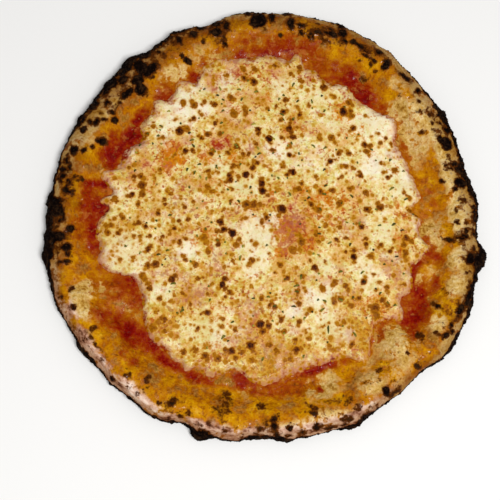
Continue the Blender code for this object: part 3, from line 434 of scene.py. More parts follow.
# Soft caramel browning.
BROWN_PATCHES = (
    (56.5, 121, 5, 5, .8), (60, 142, 18, 5, .85), (72, 140, 18, 6, .95), (84, 140, 10, 6, .9),
    (78, 135, 8, 4, .7), (105, 136, 9, 9, .9), (113, 140, 12, 5, .8), (119, 137, 8, 9, .75),
    (127, 134, 10, 8, .85), (137, 134, 20, 9, .8), (150, 139, 14, 5, .5), (145, 127, 12, 5, .5),
    (170, 140, 14, 5, .5), (186, 143, 22, 8, .7), (190, 138, 12, 6, .5), (200, 150, 20, 3, .5),
    (212, 149, 10, 3, .5), (204, 138, 4, 8, .3), (229, 144, 12, 4, .75), (243, 142, 12, 5, .75),
    (222, 136, 8, 4, .4), (256, 130, 8, 9, .95), (256, 142, 12, 4, .65), (268, 139, 14, 6, .8),
    (264, 128, 12, 8, .4), (280, 130, 16, 5, .5), (287, 133, 13, 6, .8), (293, 136, 9, 6, .7),
    (305, 139, 8, 6, .6), (321, 131, 6, 6, .7), (312, 128, 14, 10, .3), (318, 139, 12, 4, .5),
    (333, 141, 20, 5, .5), (349, 138, 12, 6, .7), (355, 130, 7, 9, .85), (8, 136, 20, 5, .75),
    (24, 136, 12, 5, .75), (16, 131, 14, 5, .6), (33, 137, 10, 5, .5), (31, 127, 8, 4, .45),
    (17, 125, 3, 5, .6),
    (42, 136, 6, 5, .5), (96, 112, 6, 5, .4), (276, 115, 16, 5, .55), (348, 113, 6, 9, .5),
    (265, 115, 9, 4, .4), (210, 112, 18, 8, .3), (313, 107, 10, 3.4, .5), (34.5, 112, 2.6, 4, .6),
)
# How far out the golden oil has soaked: angle, distance.
GOLD_REACH = (
    (0, 127), (20, 127), (30, 129), (45, 140), (55, 146.5), (65, 148.5), (75, 147), (90, 145.5),
    (100, 144), (110, 142), (120, 139), (130, 133), (140, 129), (150, 129), (160, 134),
    (170, 140), (180, 141), (190, 142), (200, 148), (207, 149), (215, 147.5), (225, 149),
    (235, 147), (245, 146), (255, 144.5), (265, 141.5), (272, 138.5), (280, 137), (288, 138.5),
    (295, 141.5), (305, 144), (315, 146), (325, 145), (335, 143), (345, 137), (355, 129),
)
# How high the soot climbs the wall from the hearth: angle, height.
SOOT_REACH = (
    (0, 12), (6, 13), (13, 13.5), (20, 12.5), (27, 13), (32, 14.5), (37, 12.5), (45, 11),
    (55, 10), (62, 11.5), (70, 13.5), (78, 10.5), (86, 9.5), (93, 12), (99, 8.5), (107, 8.5),
    (115, 9.5), (122, 11.5), (127, 12.5), (135, 14), (142, 13.5), (150, 11.5), (157, 10.5),
    (165, 10.5), (174, 11), (180, 13.5), (188, 15), (194, 12.5), (200, 9.5), (208, 8),
    (215, 9.8), (221, 9.6), (228, 7), (236, 9.6), (243, 10.2), (248, 8.4), (253, 12),
    (258, 7.4), (264, 9.6), (268, 11), (275, 10.6), (282, 9.6), (286, 8), (290, 11.6),
    (294, 12.2), (299, 9.8), (306, 9.4), (312, 9), (318, 10.5), (325, 12.5), (334, 13.5),
    (342, 13.5), (350, 14.5), (356, 12.5),
)
# How far in from the outer edge the smoke browned the rim: angle, millimetres.
SMOKE_REACH = (
    (0, 20), (10, 22), (30, 24), (50, 20), (70, 22), (90, 22), (110, 24), (125, 30), (140, 34),
    (160, 26), (180, 30), (192, 28), (200, 12), (215, 8), (235, 7), (250, 8), (265, 10),
    (285, 11), (300, 12), (315, 10), (325, 16), (340, 22), (350, 24),
)

# ------------------------------------------------------------------------------------------
# How finely the pieces are made
# ------------------------------------------------------------------------------------------
DOUGH_AROUND = 1100
DOUGH_HIDDEN = (0.35, 0.7)  # rings under the cheese, as shares of the first visible one
DOUGH_UNDER_CHEESE = 3.0 * MM
SLOPE_RINGS = 44
WALL_RINGS = 30
TUCK_RINGS = (0.3, 0.6, 0.85)  # below the widest point, as shares of the way to the base
BASE_RINGS = (1.0, 0.8, 0.5, 0.2)  # shares of the base's radius
SAUCE_AROUND = 1080
SAUCE_RINGS = 44
UNDERSIDE_RINGS = 18
CHEESE_CELLS = 264  # squares along each side of the cheese's grid

# ------------------------------------------------------------------------------------------
# How the marks are read and blended
# ------------------------------------------------------------------------------------------
READING_HEIGHT = 8.0 * MM  # the marks were read off as if they all lay this high
FAR_OUTSIDE = -3.0  # millimetres outside a mark beyond which the distance isn't counted
FAINT_SHRINK = 0.8  # millimetres by which the faintest burnt mark is smaller
RAISED_OVER = 1.5  # millimetres across a mark's outline over which it rises
BROWN_ONLY = 0.72  # marks fainter than this hardly get black
DEEPEST = 8.0  # how many millimetres deep a mark gets, for its strength past that
# How softly each kind of mark ends: 0 is a sharp outline, 1 fades from the middle.
TINT_SOFTNESS = 0.9
BARE_SOFTNESS = 0.5
BROWN_SOFTNESS = 0.6
SPOT_SOFTNESS = 0.8
POOL_SOFTNESS = 0.9
THIN_SOFTNESS = 0.7
OIL_SOFTNESS = 0.8
SOOT_FADE = 2.0  # how sharply the soot ends at its upper limit
# The outer wall's flour colour is painted paler to light up its shade, with painted light and
# shade along its wrinkles.
FLOURY_SIDE = 250.0  # the outer wall kept its flour for so far to each side of here
FLOURY_HALF = 52.0
FLOURY_FADE = 16.0
FLOURY_WALL = 0.35  # over this share of the way down the wall the flour comes in
FLOURY_LATE = 0.1
STREAK_RING = 125.0 * MM  # the distance at which the oil's streaks are 2 mm wide
STREAK_SHORTENED = 0.5
WRINKLE_STRETCH = (0.3, 0.3, 1.2)  # the stripes of painted light and shade on the flour-dusted wall run level
SPOT_SCALE = 0.84
# Each toasted spot has a smaller one at its side: shares of its radius and strength.
SATELLITE_SIZE = (0.35, 0.7)
SATELLITE_AWAY = (0.8, 1.5)
SATELLITE_STRENGTH = (0.4, 0.8)
SATELLITE_SEED = 41
# Toasted blisters strewn on the cheese: millimetres for each, radius of the smallest and of the
# largest, and which part of the pattern.
SMALL_BLISTERS = ((4.4, -1.2, 1.75, 0.013), (2.7, -1.7, 1.05, 0.029))
# Small burnt blisters strewn on the rim, in millimetres. Those of the inset are the least, the
# commonest and the most.
TINY_CHAR = 260
TINY_CHAR_SIZE = (0.6, 1.7)
TINY_CHAR_INSET = (0.0, 5.0, 22.0)
TINY_CHAR_LENGTH = (0.8, 1.6)
TINY_CHAR_STRENGTH = (0.2, 0.9)
TINY_CHAR_PALE_SIDE = (205.0, 305.0)
TINY_CHAR_PALE = 0.7
TINY_CHAR_SEED = 43

# Random relief is read from a cube of this many cells, shifted by this share of the seed.
WAVER_CELLS = 64
WAVER_SHIFT = 0.37

# How far the marks on the dough wander from their tables, and how ragged their limits are.
# Each relief is a list of amount, size in millimetres and seed.
WANDER_OUT = ((1.3, 4.5, 51), (0.7, 1.9, 55))
WANDER_ROUND = ((1.3, 4.5, 61), (0.7, 1.9, 65))
SOOT_RAGGED = ((1.4, 3.0, 71), (1.4, 9.0, 75))
SMOKE_RAGGED = ((3.0, 8.0, 77),)
SWIRL_OUT = ((1.5, 6.0, 81),)
SWIRL_ROUND = ((0.7, 6.0, 85),)  # in degrees
GOLD_RAGGED = ((1.6, 7.0, 91),)
GOLD_FADE = 6.0
SEEP = 8.0  # millimetres past the cheese that the dough is still stained
SEEP_FADE = 10.0
SEEP_STAIN = 0.26
BARE_GOLD = 0.85  # how much of the gold a bare patch takes away

# Relief of the dough.
DOUGH_SEEN_FROM = 95.0 * MM
DOUGH_SWELLS = ((0.7 * MM, 9.0, 101),)
DOUGH_BLISTERS = ((0.5 * MM, 3.2, 105),)
DOUGH_CREASES = ((0.55 * MM, 2.4, 111),)
DOUGH_CREASE_STRETCH = (0.2, 0.2, 1.0)
CREASE_RISE = 2.0  # how fast the creases come in down the wall, and how late
CREASE_LATE = 0.6
CRAG_RISE = 2.5
CRAG_LATE = 0.4
STAIN_CALM = 0.4  # how much the sauce evens the dough's relief out
DOUGH_CRAGS = ((1.0, 3.0, 115), (0.5, 1.3, 117))
DOUGH_CRAG_LIMITS = (-0.3, 1.0)
DOUGH_CRAG_HEIGHT = 1.5
DOUGH_CRAG_LIFT = 0.1
CHAR_LIFT = 0.45 * MM
BARE_LIFT = 0.25 * MM
FOOT_HEIGHT = 1.6 * MM  # the relief fades out towards the base below this

# Form and relief of the sauce.
SAUCE_SUNK = 0.5 * MM  # how far the layer dips into the dough past its outline
SAUCE_UNDER_CHEESE = 6.0 * MM
SAUCE_PAST_EDGE = 5.0 * MM
SAUCE_SMOOTHING = (60, 18)  # the windows are these parts of a turn, inside and outside
SAUCE_EDGE_SLOPE = 4.0 * MM
SAUCE_EDGE_START = 0.35
SAUCE_LOWEST = -1.1 * MM
SAUCE_UNDERSIDE = (0.995, 0.72)
SAUCE_UNDERSIDE_LAST = 0.35
SAUCE_EDGE_TURNED = ((1.6, 6.0, 181),)  # in degrees
SAUCE_EDGE_RAGGED = ((1.3 * MM, 5.0, 185),)
SAUCE_RELIEF = ((0.3 * MM, 4.0, 121), (0.18 * MM, 1.8, 125))

# Form and relief of the cheese.
SPOT_WARP_X = ((0.5, 4.0, 131), (0.3, 1.5, 132))
SPOT_WARP_Y = ((0.5, 4.0, 135), (0.3, 1.5, 136))
AREA_WARP_X = ((2.4, 9.0, 141),)
AREA_WARP_Y = ((2.4, 9.0, 145),)
SKIRT_RAGGED = ((2.5, 7.0, 151),)
SKIRT_WIDTH = 7.0
CHEESE_RAGGED = ((1.4, 4.0, 161, 2), (0.9, 1.8, 165, 2))
CHEESE_RAGGED_AT = 0.11  # the border's relief is read on a ring of this radius
CHEESE_GRAIN = ((0.24 * MM, 3.4, 171), (0.16 * MM, 1.7, 175, 2))
CHEESE_STAINED = 12.0  # millimetres from its border where the cheese knows the sauce's colour
CHEESE_STAIN_INSIDE = 0.4
CHEESE_SHOULDER = 7.0
CHEESE_SHOULDER_FULLNESS = 0.6
CHEESE_EXTRA = 0.25 * MM
CHEESE_LIP = 3.0
EDGE_DIP = 0.6 * MM  # how far the cheese's edge lies below the top of the sauce
CHEESE_THINNED = 0.5 * MM
CHEESE_POOL_CALM = 0.7
SPOT_LIFT = 0.4 * MM
CHEESE_SKIN = 0.4 * MM  # the thickness of its border

# Burnt crumbs in the char of the outer wall.
CRUMBS_PER_SQUARE_METRE = 160000.0
CRUMB_SIZE = (0.25 * MM, 0.75 * MM)
CRUMB_LOWEST = 1.2 * MM
CRUMB_RISE = 1.5
CRUMB_LATE = 0.2
CRUMB_FORM = (1.0, 0.7, 0.55)
CRUMB_SEED = 5


def turned_by(angles, middle):
    """How far an angle lies from the middle of a feature, from -180 to 180 degrees."""
    return (angles - middle + 180.0) % 360.0 - 180.0


def swell_sum(angles, swells):
    """Smooth rises and dips along an outline, in metres."""
    total = np.zeros_like(angles)
    for middle, half_width, reach in swells:
        away = np.abs(turned_by(angles, middle)) / half_width
        total += reach * MM * np.where(away < 1.0, np.cos(0.5 * math.pi * away) ** 2, 0.0)
    return total


def edge_waves(angles):
    phases = np.random.default_rng(WAVE_SEED).uniform(0.0, 2.0 * math.pi, len(WAVES))
    total = np.zeros_like(angles)
    for (count, reach), phase in zip(WAVES, phases):
        total += reach * MM * np.sin(count * np.radians(angles) + phase)
    return total


def rim_radius(angles):
    oval = STRETCH * np.cos(2.0 * np.radians(angles - STRETCH_TOWARD))
    return MEAN_RADIUS + oval + swell_sum(angles, RIM_OUTLINE) + edge_waves(angles)


def cheese_radius(angles):
    return CHEESE_RADIUS + swell_sum(angles, CHEESE_OUTLINE)


def sauce_radius(angles):
    return cheese_radius(angles) + SAUCE_MARGIN + swell_sum(angles, SAUCE_REACH)


def crest_height(angles):
    return RIM_HEIGHT + swell_sum(angles, RIM_CREST)


def place(angles, radii):
    """x and y of points given by angle and distance from the middle."""
    return radii * np.cos(np.radians(angles)), radii * np.sin(np.radians(angles))


def mounds(x, y, table):
    """Height of low rounded mounds, each given as x, y, radius and height."""
    height = np.zeros_like(x)
    for middle_x, middle_y, radius, top in table:
        away = np.hypot(x - middle_x * MM, y - middle_y * MM) / (radius * MM)
        height += top * MM * np.clip(1.0 - away ** 2, 0.0, None) ** MOUND_FULLNESS
    return height


def bubble_table():
    rows = [(*place(angle, distance), radius, height)
            for angle, distance, radius, height in DOUGH_BUBBLES]
    draw = np.random.default_rng(BLISTER_SEED)
    for i in range(RIM_BLISTERS):
        angle = (i + draw.uniform(-1.0, 1.0) * RIM_BLISTER_SHIFT) * 360.0 / RIM_BLISTERS
        distance = rim_radius(np.array([angle]))[0] / MM - draw.uniform(*RIM_BLISTER_IN)
        radius = draw.uniform(*RIM_BLISTER_RADIUS)
        rows.append((*place(angle, distance), radius, draw.uniform(*RIM_BLISTER_HEIGHT)))
    return rows


def lump_table():
    rows = list(CHEESE_MOUNDS)
    draw = np.random.default_rng(LUMP_SEED)
    for _ in range(CHEESE_LUMPS):
        distance = CHEESE_RADIUS / MM * math.sqrt(draw.uniform(0.0, CHEESE_LUMP_REACH))
        x, y = place(draw.uniform(0.0, 360.0), distance)
        radius = draw.uniform(*CHEESE_LUMP_RADIUS)
        rows.append((x, y, radius, draw.uniform(*CHEESE_LUMP_HEIGHT)))
    return rows


BUBBLES = bubble_table()
LUMPS = lump_table()


def dough_top(angles, radii):
    """Height of the crust's upper surface."""
    crest = rim_radius(angles) - CREST_INSET
    top = crest_height(angles)
    up_slope = np.clip((radii - crest + SLOPE_WIDTH) / SLOPE_WIDTH, 0.0, 1.0)
    inner = FLOOR_THICKNESS + (top - FLOOR_THICKNESS) * np.sin(0.5 * math.pi * up_slope) ** 2
    out_wall = np.clip((radii - crest) / CREST_INSET, 0.0, 1.0)
    fall = (1.0 - out_wall ** WALL_FULLNESS) ** (1.0 / WALL_FULLNESS)
    outer = EDGE_HEIGHT + (top - EDGE_HEIGHT) * fall
    x, y = place(angles, radii)
    return np.where(radii < crest, inner, outer) + mounds(x, y, BUBBLES) * fall


def ease(share):
    """0 to 1 with a smooth start and end."""
    share = np.clip(share, 0.0, 1.0)
    return share * share * (3.0 - 2.0 * share)


def waver(points, size, seed):
    """Smooth random values from -1 to 1 that change over about size millimetres, in space."""
    table = np.random.default_rng(seed).uniform(-1.0, 1.0, [WAVER_CELLS] * 3)
    at = points / (size * MM) + seed * WAVER_SHIFT
    low = np.floor(at).astype(int)
    part = ease(at - low)
    total = np.zeros(len(points))
    for corner in range(8):
        bits = np.array([corner & 1, corner >> 1 & 1, corner >> 2 & 1])
        weight = np.prod(np.where(bits, part, 1.0 - part), axis=1)
        i, j, k = ((low + bits) % WAVER_CELLS).T
        total += weight * table[i, j, k]
    return total


def rough(points, size, seed, layers=3):
    """Waver with finer and fainter layers on top of it."""
    total = sum(waver(points, size / 2 ** i, seed + i) / 2 ** i for i in range(layers))
    return total / (2.0 - 2.0 ** (1 - layers))


def layered(points, layers):
    """The sum of layers of random relief, each given as amount, size in millimetres and seed,
    and the number of finer layers on top of it if that isn't three."""
    return sum(amount * rough(points, *grain) for amount, *grain in layers)


def dabs(x, y, table, softness):
    """The strongest of round dabs at each point, each given as x, y, radius and strength."""
    total = np.zeros_like(x)
    for middle_x, middle_y, radius, strength in table:
        away = np.hypot(x - middle_x, y - middle_y) / radius
        total = np.maximum(total, strength * ease((1.0 + softness - away) / (2.0 * softness)))
    return total


def tones(x, y, table):
    """The sum of broad soft dabs, which may be below zero."""
    total = np.zeros_like(x)
    for middle_x, middle_y, radius, value in table:
        away = np.hypot(x - middle_x, y - middle_y) / radius
        total += value * ease(1.5 - away)
    return total


def inside_spots(x, y, table):
    """How many millimetres inside the nearest round spot each point lies, or outside it
    (below zero). Each spot starts with x, y and radius."""
    total = np.full_like(x, FAR_OUTSIDE)
    for middle_x, middle_y, radius, *_ in table:
        total = np.maximum(total, radius - np.hypot(x - middle_x, y - middle_y))
    return total


def marks(angles, distance, table, softness, under=None):
    """The strongest of oval marks on the dough. With a field under them, each mark pulls that
    field towards its own value instead."""
    total = np.zeros_like(angles) if under is None else under.copy()
    for angle, middle, half_round, half_out, value in table:
        around = np.radians(turned_by(angles, angle)) * distance / half_round
        away = np.hypot(around, (distance - middle) / half_out)
        weight = ease((1.0 + softness - away) / (2.0 * softness))
        if under is None:
            total = np.maximum(total, value * weight)
        else:
            total += weight * (value - total)
    return total


def inside_marks(angles, distance, table):
    """How many millimetres inside the nearest oval mark each point lies, or outside it (below
    zero). Fainter marks count as smaller and don't get as deep."""
    total = np.full_like(angles, FAR_OUTSIDE)
    for angle, middle, half_round, half_out, strength in table:
        around = np.radians(turned_by(angles, angle)) * distance / half_round
        away = np.hypot(around, (distance - middle) / half_out)
        inside = (1.0 - away) * min(half_round, half_out) - FAINT_SHRINK * (1.0 - strength)
        inside = np.minimum(inside, DEEPEST * (strength - BROWN_ONLY))
        total = np.maximum(total, inside)
    return total


def as_read(points):
    """Where each point is seen in the level plane in which the marks were read off: angle, and
    distance in millimetres."""
    eye = np.array(EYE)
    share = (READING_HEIGHT - eye[2]) / (points[:, 2] - eye[2])
    seen = eye + (points - eye) * share[:, None]
    angles = np.degrees(np.arctan2(seen[:, 1], seen[:, 0])) % 360.0
    return angles, np.hypot(seen[:, 0], seen[:, 1]) / MM


def tiny_char_table():
    rows = []
    draw = np.random.default_rng(TINY_CHAR_SEED)
    pale_from, pale_to = TINY_CHAR_PALE_SIDE
    for _ in range(TINY_CHAR):
        angle = draw.uniform(0.0, 360.0)
        size = draw.uniform(*TINY_CHAR_SIZE)
        outer = rim_radius(np.array([angle]))[0] / MM
        faint = TINY_CHAR_PALE if pale_from < angle < pale_to else 1.0
        rows.append((angle, outer - draw.triangular(*TINY_CHAR_INSET), size,
                     size * draw.uniform(*TINY_CHAR_LENGTH),
                     faint * draw.uniform(*TINY_CHAR_STRENGTH)))
    return rows


TINY_CHAR_MARKS = tiny_char_table()


def all_round(angles, table):
    """A distance that is given at some angles, at all angles."""
    at, value = zip(*table)
    return np.interp(angles % 360.0, at, value, period=360.0)


def in_scene(name, data):
    """A new object with this data, in the scene."""
    obj = bpy.data.objects.new(name, data)
    bpy.context.scene.collection.objects.link(obj)
    return obj


def write_mask(mesh, key, values):
    """Adds a value for each point of a mesh."""
    attribute = mesh.attributes.new(key, "FLOAT", "POINT")
    attribute.data.foreach_set("value", values.astype(np.float32))


def plain_object(name, points, faces, masks):
    """A mesh object from points and faces, with each mask as an attribute of its points."""
    mesh = bpy.data.meshes.new(name)
    mesh.vertices.add(len(points))
    mesh.vertices.foreach_set("co", points.astype(np.float32).ravel())
    sizes = np.array([len(face) for face in faces])
    mesh.loops.add(int(sizes.sum()))
    mesh.loops.foreach_set("vertex_index", np.concatenate(faces).astype(np.int32))
    mesh.polygons.add(len(faces))
    mesh.polygons.foreach_set("loop_start", (np.cumsum(sizes) - sizes).astype(np.int32))
    mesh.update(calc_edges=True)
    mesh.validate()
    for key, values in masks.items():
        write_mask(mesh, key, values)
    mesh.shade_smooth()
    return in_scene(name, mesh)


def lathe_faces(rings, around):
    """Quads between neighbouring rings of points and triangles to a pole at each end. The
    points are the first pole, the rings and the last pole. The rings run from the middle of
    the top over the edge to the middle of the base."""
    i = np.arange(around)
    j = (i + 1) % around
    faces = []
    first = 1
    faces.extend(np.column_stack([np.zeros(around, int), first + i, first + j]))
    for ring in range(rings - 1):
        upper = 1 + ring * around
        lower = upper + around
        faces.extend(np.column_stack([upper + i, lower + i, lower + j, upper + j]))
    last = 1 + (rings - 1) * around
    pole = 1 + rings * around
    faces.extend(np.column_stack([last + i, np.full(around, pole), last + j]))
    return faces


def push_out(obj, amount):
    """Moves each point along its normal."""
    mesh = obj.data
    count = len(mesh.vertices)
    normals = np.zeros(count * 3, np.float32)
    points = np.zeros(count * 3, np.float32)
    mesh.vertices.foreach_get("normal", normals)
    mesh.vertices.foreach_get("co", points)
    moved = points.reshape(-1, 3) + normals.reshape(-1, 3) * amount[:, None]
    mesh.vertices.foreach_set("co", moved.astype(np.float32).ravel())
    mesh.update()


# ------------------------------------------------------------------------------------------
# The three layers
# ------------------------------------------------------------------------------------------
def bake_marks(points, angles, radii, height, wall):
    """The masks of baked dough and sauce at each point. wall is 0 on top and 1 at the foot of
    the outer wall. char is in millimetres inside a burnt mark; the others run from 0 to 1."""
    read_angles, read_distance = as_read(points)
    distance = read_distance + layered(points, WANDER_OUT)
    along = layered(points, WANDER_ROUND)
    turned = read_angles + np.degrees(along / np.maximum(distance, 1.0))
    char = inside_marks(turned, distance, CHAR_MARKS)
    char = np.maximum(char, inside_marks(turned, distance, TINY_CHAR_MARKS))
    soot_height = all_round(angles, SOOT_REACH)
    soot = SOOT_FADE * (soot_height - height / MM + layered(points, SOOT_RAGGED))
    soot = np.where(wall > 0.0, soot, FAR_OUTSIDE)
    char = np.clip(np.maximum(char, soot), FAR_OUTSIDE, -FAR_OUTSIDE)
    inset = (rim_radius(angles) - radii) / MM
    smoked_to = all_round(angles, SMOKE_REACH) + layered(points, SMOKE_RAGGED)
    smoky = ease(1.0 - inset / smoked_to)
    swirl_out = distance + layered(points, SWIRL_OUT)
    swirl_turned = turned + layered(points, SWIRL_ROUND)
    near_cheese = ease((cheese_radius(swirl_turned) / MM + SEEP - swirl_out) / SEEP_FADE)
    seeped = SEEP_STAIN * near_cheese
    stain = marks(swirl_turned, swirl_out, SAUCE_TINTS, TINT_SOFTNESS, under=seeped)
    soaked_to = all_round(turned, GOLD_REACH) + layered(points, GOLD_RAGGED)
    gold = ease((soaked_to - distance) / GOLD_FADE + 0.5)
    bare = marks(turned, distance, BARE_PATCHES, BARE_SOFTNESS)
    brown = marks(turned, distance, BROWN_PATCHES, BROWN_SOFTNESS)
    # Where the flour-dusted outer wall lies; its colour carries painted light and shade.
    aside = np.abs(turned_by(angles, FLOURY_SIDE))
    floury = ease((FLOURY_HALF - aside) / FLOURY_FADE + 0.5)
    floury *= ease(wall / FLOURY_WALL - FLOURY_LATE)
    return {
        "char": char,
        "floury": floury,
        "smoky": smoky,
        "stain": stain,
        "gold": gold * (1.0 - BARE_GOLD * bare),
        "bare": bare,
        "brown": brown,
        "wall": wall,
    }


def build_dough():
    around = np.arange(DOUGH_AROUND) * 360.0 / DOUGH_AROUND
    bump = swell_sum(around, EDGE_BUMPS)
    crest = rim_radius(around) - CREST_INSET
    seen_from = cheese_radius(around) - DOUGH_UNDER_CHEESE
    edge = rim_radius(around) + bump
    rings = []
    for share in DOUGH_HIDDEN:
        radii = share * seen_from
        rings.append((radii, dough_top(around, radii), 0.0))
    for step in np.linspace(0.0, 1.0, SLOPE_RINGS):
        radii = seen_from + step * (crest - seen_from)
        rings.append((radii, dough_top(around, radii), 0.0))
    for turn in np.linspace(0.0, 0.5 * math.pi, WALL_RINGS + 1)[1:]:
        step = math.sin(turn)
        radii = crest + step * CREST_INSET
        rings.append((radii + bump * step ** 3, dough_top(around, radii), step))
    for step in TUCK_RINGS:
        inset = EDGE_TUCK * step ** 2
        height = EDGE_HEIGHT * (1.0 - step)
        rings.append((edge - inset, np.full_like(edge, height), 1.0))
    for share in BASE_RINGS:
        rings.append(((edge - EDGE_TUCK) * share, np.zeros_like(edge), 1.0))
    angles = np.concatenate([[0.0], np.tile(around, len(rings)), [0.0]])
    radii = np.concatenate([[0.0], *[r for r, _, _ in rings], [0.0]])
    height = np.concatenate([[FLOOR_THICKNESS], *[h for _, h, _ in rings], [0.0]])
    wall = np.concatenate([[0.0], *[np.full_like(around, w) for _, _, w in rings], [1.0]])
    x, y = place(angles, radii)
    points = np.column_stack([x, y, height])
    masks = bake_marks(points, angles, radii, height, wall)
    on_base = (height <= 0.0)
    masks["base"] = on_base.astype(float)
    obj = plain_object("baked_crust", points, lathe_faces(len(rings), DOUGH_AROUND), masks)
    lifted = ease(0.5 + masks["char"] / RAISED_OVER)
    seen = (radii > DOUGH_SEEN_FROM) & ~on_base
    amount = layered(points, DOUGH_SWELLS)
    amount += layered(points, DOUGH_BLISTERS) * (1.0 - STAIN_CALM * masks["stain"])
    amount += CHAR_LIFT * lifted * (1.0 - wall) + BARE_LIFT * masks["bare"]
    stretched = points * np.array(DOUGH_CREASE_STRETCH)
    amount += layered(stretched, DOUGH_CREASES) * ease(wall * CREASE_RISE - CREASE_LATE)
    crag = lifted * ease(wall * CRAG_RISE - CRAG_LATE)
    lumps = np.clip(layered(points, DOUGH_CRAGS), *DOUGH_CRAG_LIMITS)
    amount += crag * MM * (DOUGH_CRAG_LIFT + DOUGH_CRAG_HEIGHT * lumps)
    foot = ease(height / FOOT_HEIGHT)
    push_out(obj, amount * seen * foot)
    return obj


def smoothed(values, window):
    """Values round a closed ring averaged over a window of neighbours."""
    kernel = np.hanning(window + 2)[1:-1]
    wrapped = np.concatenate([values[-window:], values, values[:window]])
    return np.convolve(wrapped, kernel / kernel.sum(), "same")[window:-window]


def build_sauce():
    around = np.arange(SAUCE_AROUND) * 360.0 / SAUCE_AROUND
    inner, outer = (SAUCE_AROUND // part for part in SAUCE_SMOOTHING)
    start = smoothed(cheese_radius(around), inner) - SAUCE_UNDER_CHEESE
    end = smoothed(sauce_radius(around), outer) + SAUCE_PAST_EDGE
    rings = []
    for share in DOUGH_HIDDEN:
        radii = share * start
        rings.append((radii, np.full_like(radii, LAYER_GAP + SAUCE_THICKNESS)))
    for part in np.linspace(0.0, 1.0, SAUCE_RINGS):
        radii = start + part * (end - start)
        spot = np.column_stack([*place(around, radii), np.zeros_like(radii)])
        turned = around + layered(spot, SAUCE_EDGE_TURNED)
        left = sauce_radius(turned) + layered(spot, SAUCE_EDGE_RAGGED) - radii
        spread = ease(left / SAUCE_EDGE_SLOPE + SAUCE_EDGE_START)
        rings.append((radii, (SAUCE_THICKNESS + SAUCE_SUNK) * spread - SAUCE_SUNK))
    for share in (*np.linspace(*SAUCE_UNDERSIDE, UNDERSIDE_RINGS), SAUCE_UNDERSIDE_LAST):
        rings.append((share * end, np.full_like(end, SAUCE_LOWEST)))
    angles = np.concatenate([[0.0], np.tile(around, len(rings)), [0.0]])
    radii = np.concatenate([[0.0], *[r for r, _ in rings], [0.0]])
    layer = np.concatenate([[LAYER_GAP + SAUCE_THICKNESS], *[t for _, t in rings],
                            [SAUCE_LOWEST]])
    height = dough_top(angles, radii) + layer
    x, y = place(angles, radii)
    points = np.column_stack([x, y, height])
    masks = bake_marks(points, angles, radii, height, np.zeros_like(radii))
    obj = plain_object("tomato_sauce", points, lathe_faces(len(rings), SAUCE_AROUND), masks)
    shown = np.zeros(len(points))
    first = 1 + len(DOUGH_HIDDEN) * SAUCE_AROUND
    shown[first:first + (SAUCE_RINGS - 1) * SAUCE_AROUND] = 1.0
    push_out(obj, layered(points, SAUCE_RELIEF) * shown * ease(layer / SAUCE_THICKNESS))
    return obj


def disc_grid(cells):
    """Angles and shares of the radius of a square grid that is bent into a disc."""
    line = np.linspace(-1.0, 1.0, cells + 1)
    u, v = (a.ravel() for a in np.meshgrid(line, line, indexing="ij"))
    wide = np.abs(u) > np.abs(v)
    safe_u = np.where(np.abs(u) < 1e-12, 1.0, u)
    safe_v = np.where(np.abs(v) < 1e-12, 1.0, v)
    share = np.where(wide, u, v)
    turn = np.where(wide, 0.25 * math.pi * v / safe_u, 0.5 * math.pi - 0.25 * math.pi * u / safe_v)
    angles = np.degrees(turn) + np.where(share < 0.0, 180.0, 0.0)
    return angles % 360.0, np.abs(share)


def spot_table():
    """The toasted spots and the smaller ones at their sides."""
    rows = [(x, y, radius * SPOT_SCALE, strength) for x, y, radius, strength in TOASTED_SPOTS]
    draw = np.random.default_rng(SATELLITE_SEED)
    for x, y, radius, strength in TOASTED_SPOTS:
        size = radius * draw.uniform(*SATELLITE_SIZE)
        off_x, off_y = place(draw.uniform(0.0, 360.0), radius * draw.uniform(*SATELLITE_AWAY))
        rows.append((x + off_x, y + off_y, size, strength * draw.uniform(*SATELLITE_STRENGTH)))
    return rows


def cheese_marks(points, inside):
    """The masks of the cheese. inside is the distance from its edge in millimetres. toast is in
    millimetres inside a toasted spot; the others run from 0 to 1."""
    angles, distance = as_read(points)
    x, y = place(angles, distance)
    warp_x = x + layered(points, SPOT_WARP_X)
    warp_y = y + layered(points, SPOT_WARP_Y)
    spots = spot_table()
    toast = inside_spots(warp_x, warp_y, spots)
    depth = dabs(warp_x, warp_y, spots, SPOT_SOFTNESS)
    far_x = x + layered(points, AREA_WARP_X)
    far_y = y + layered(points, AREA_WARP_Y)
    pool = dabs(far_x, far_y, PALE_POOLS, POOL_SOFTNESS)
    thin = dabs(far_x, far_y, THIN_PLACES, THIN_SOFTNESS)
    oil = dabs(far_x, far_y, OIL_PATCHES, OIL_SOFTNESS)
    tone = tones(far_x, far_y, CHEESE_TONES)
    edge = 1.0 - (inside + layered(points, SKIRT_RAGGED)) / SKIRT_WIDTH
    edge = np.clip(edge, 0.0, 1.0)
    return {"toast": toast, "depth": depth, "pool": pool, "thin": thin, "oil": oil,
            "edge": edge, "tone": tone}


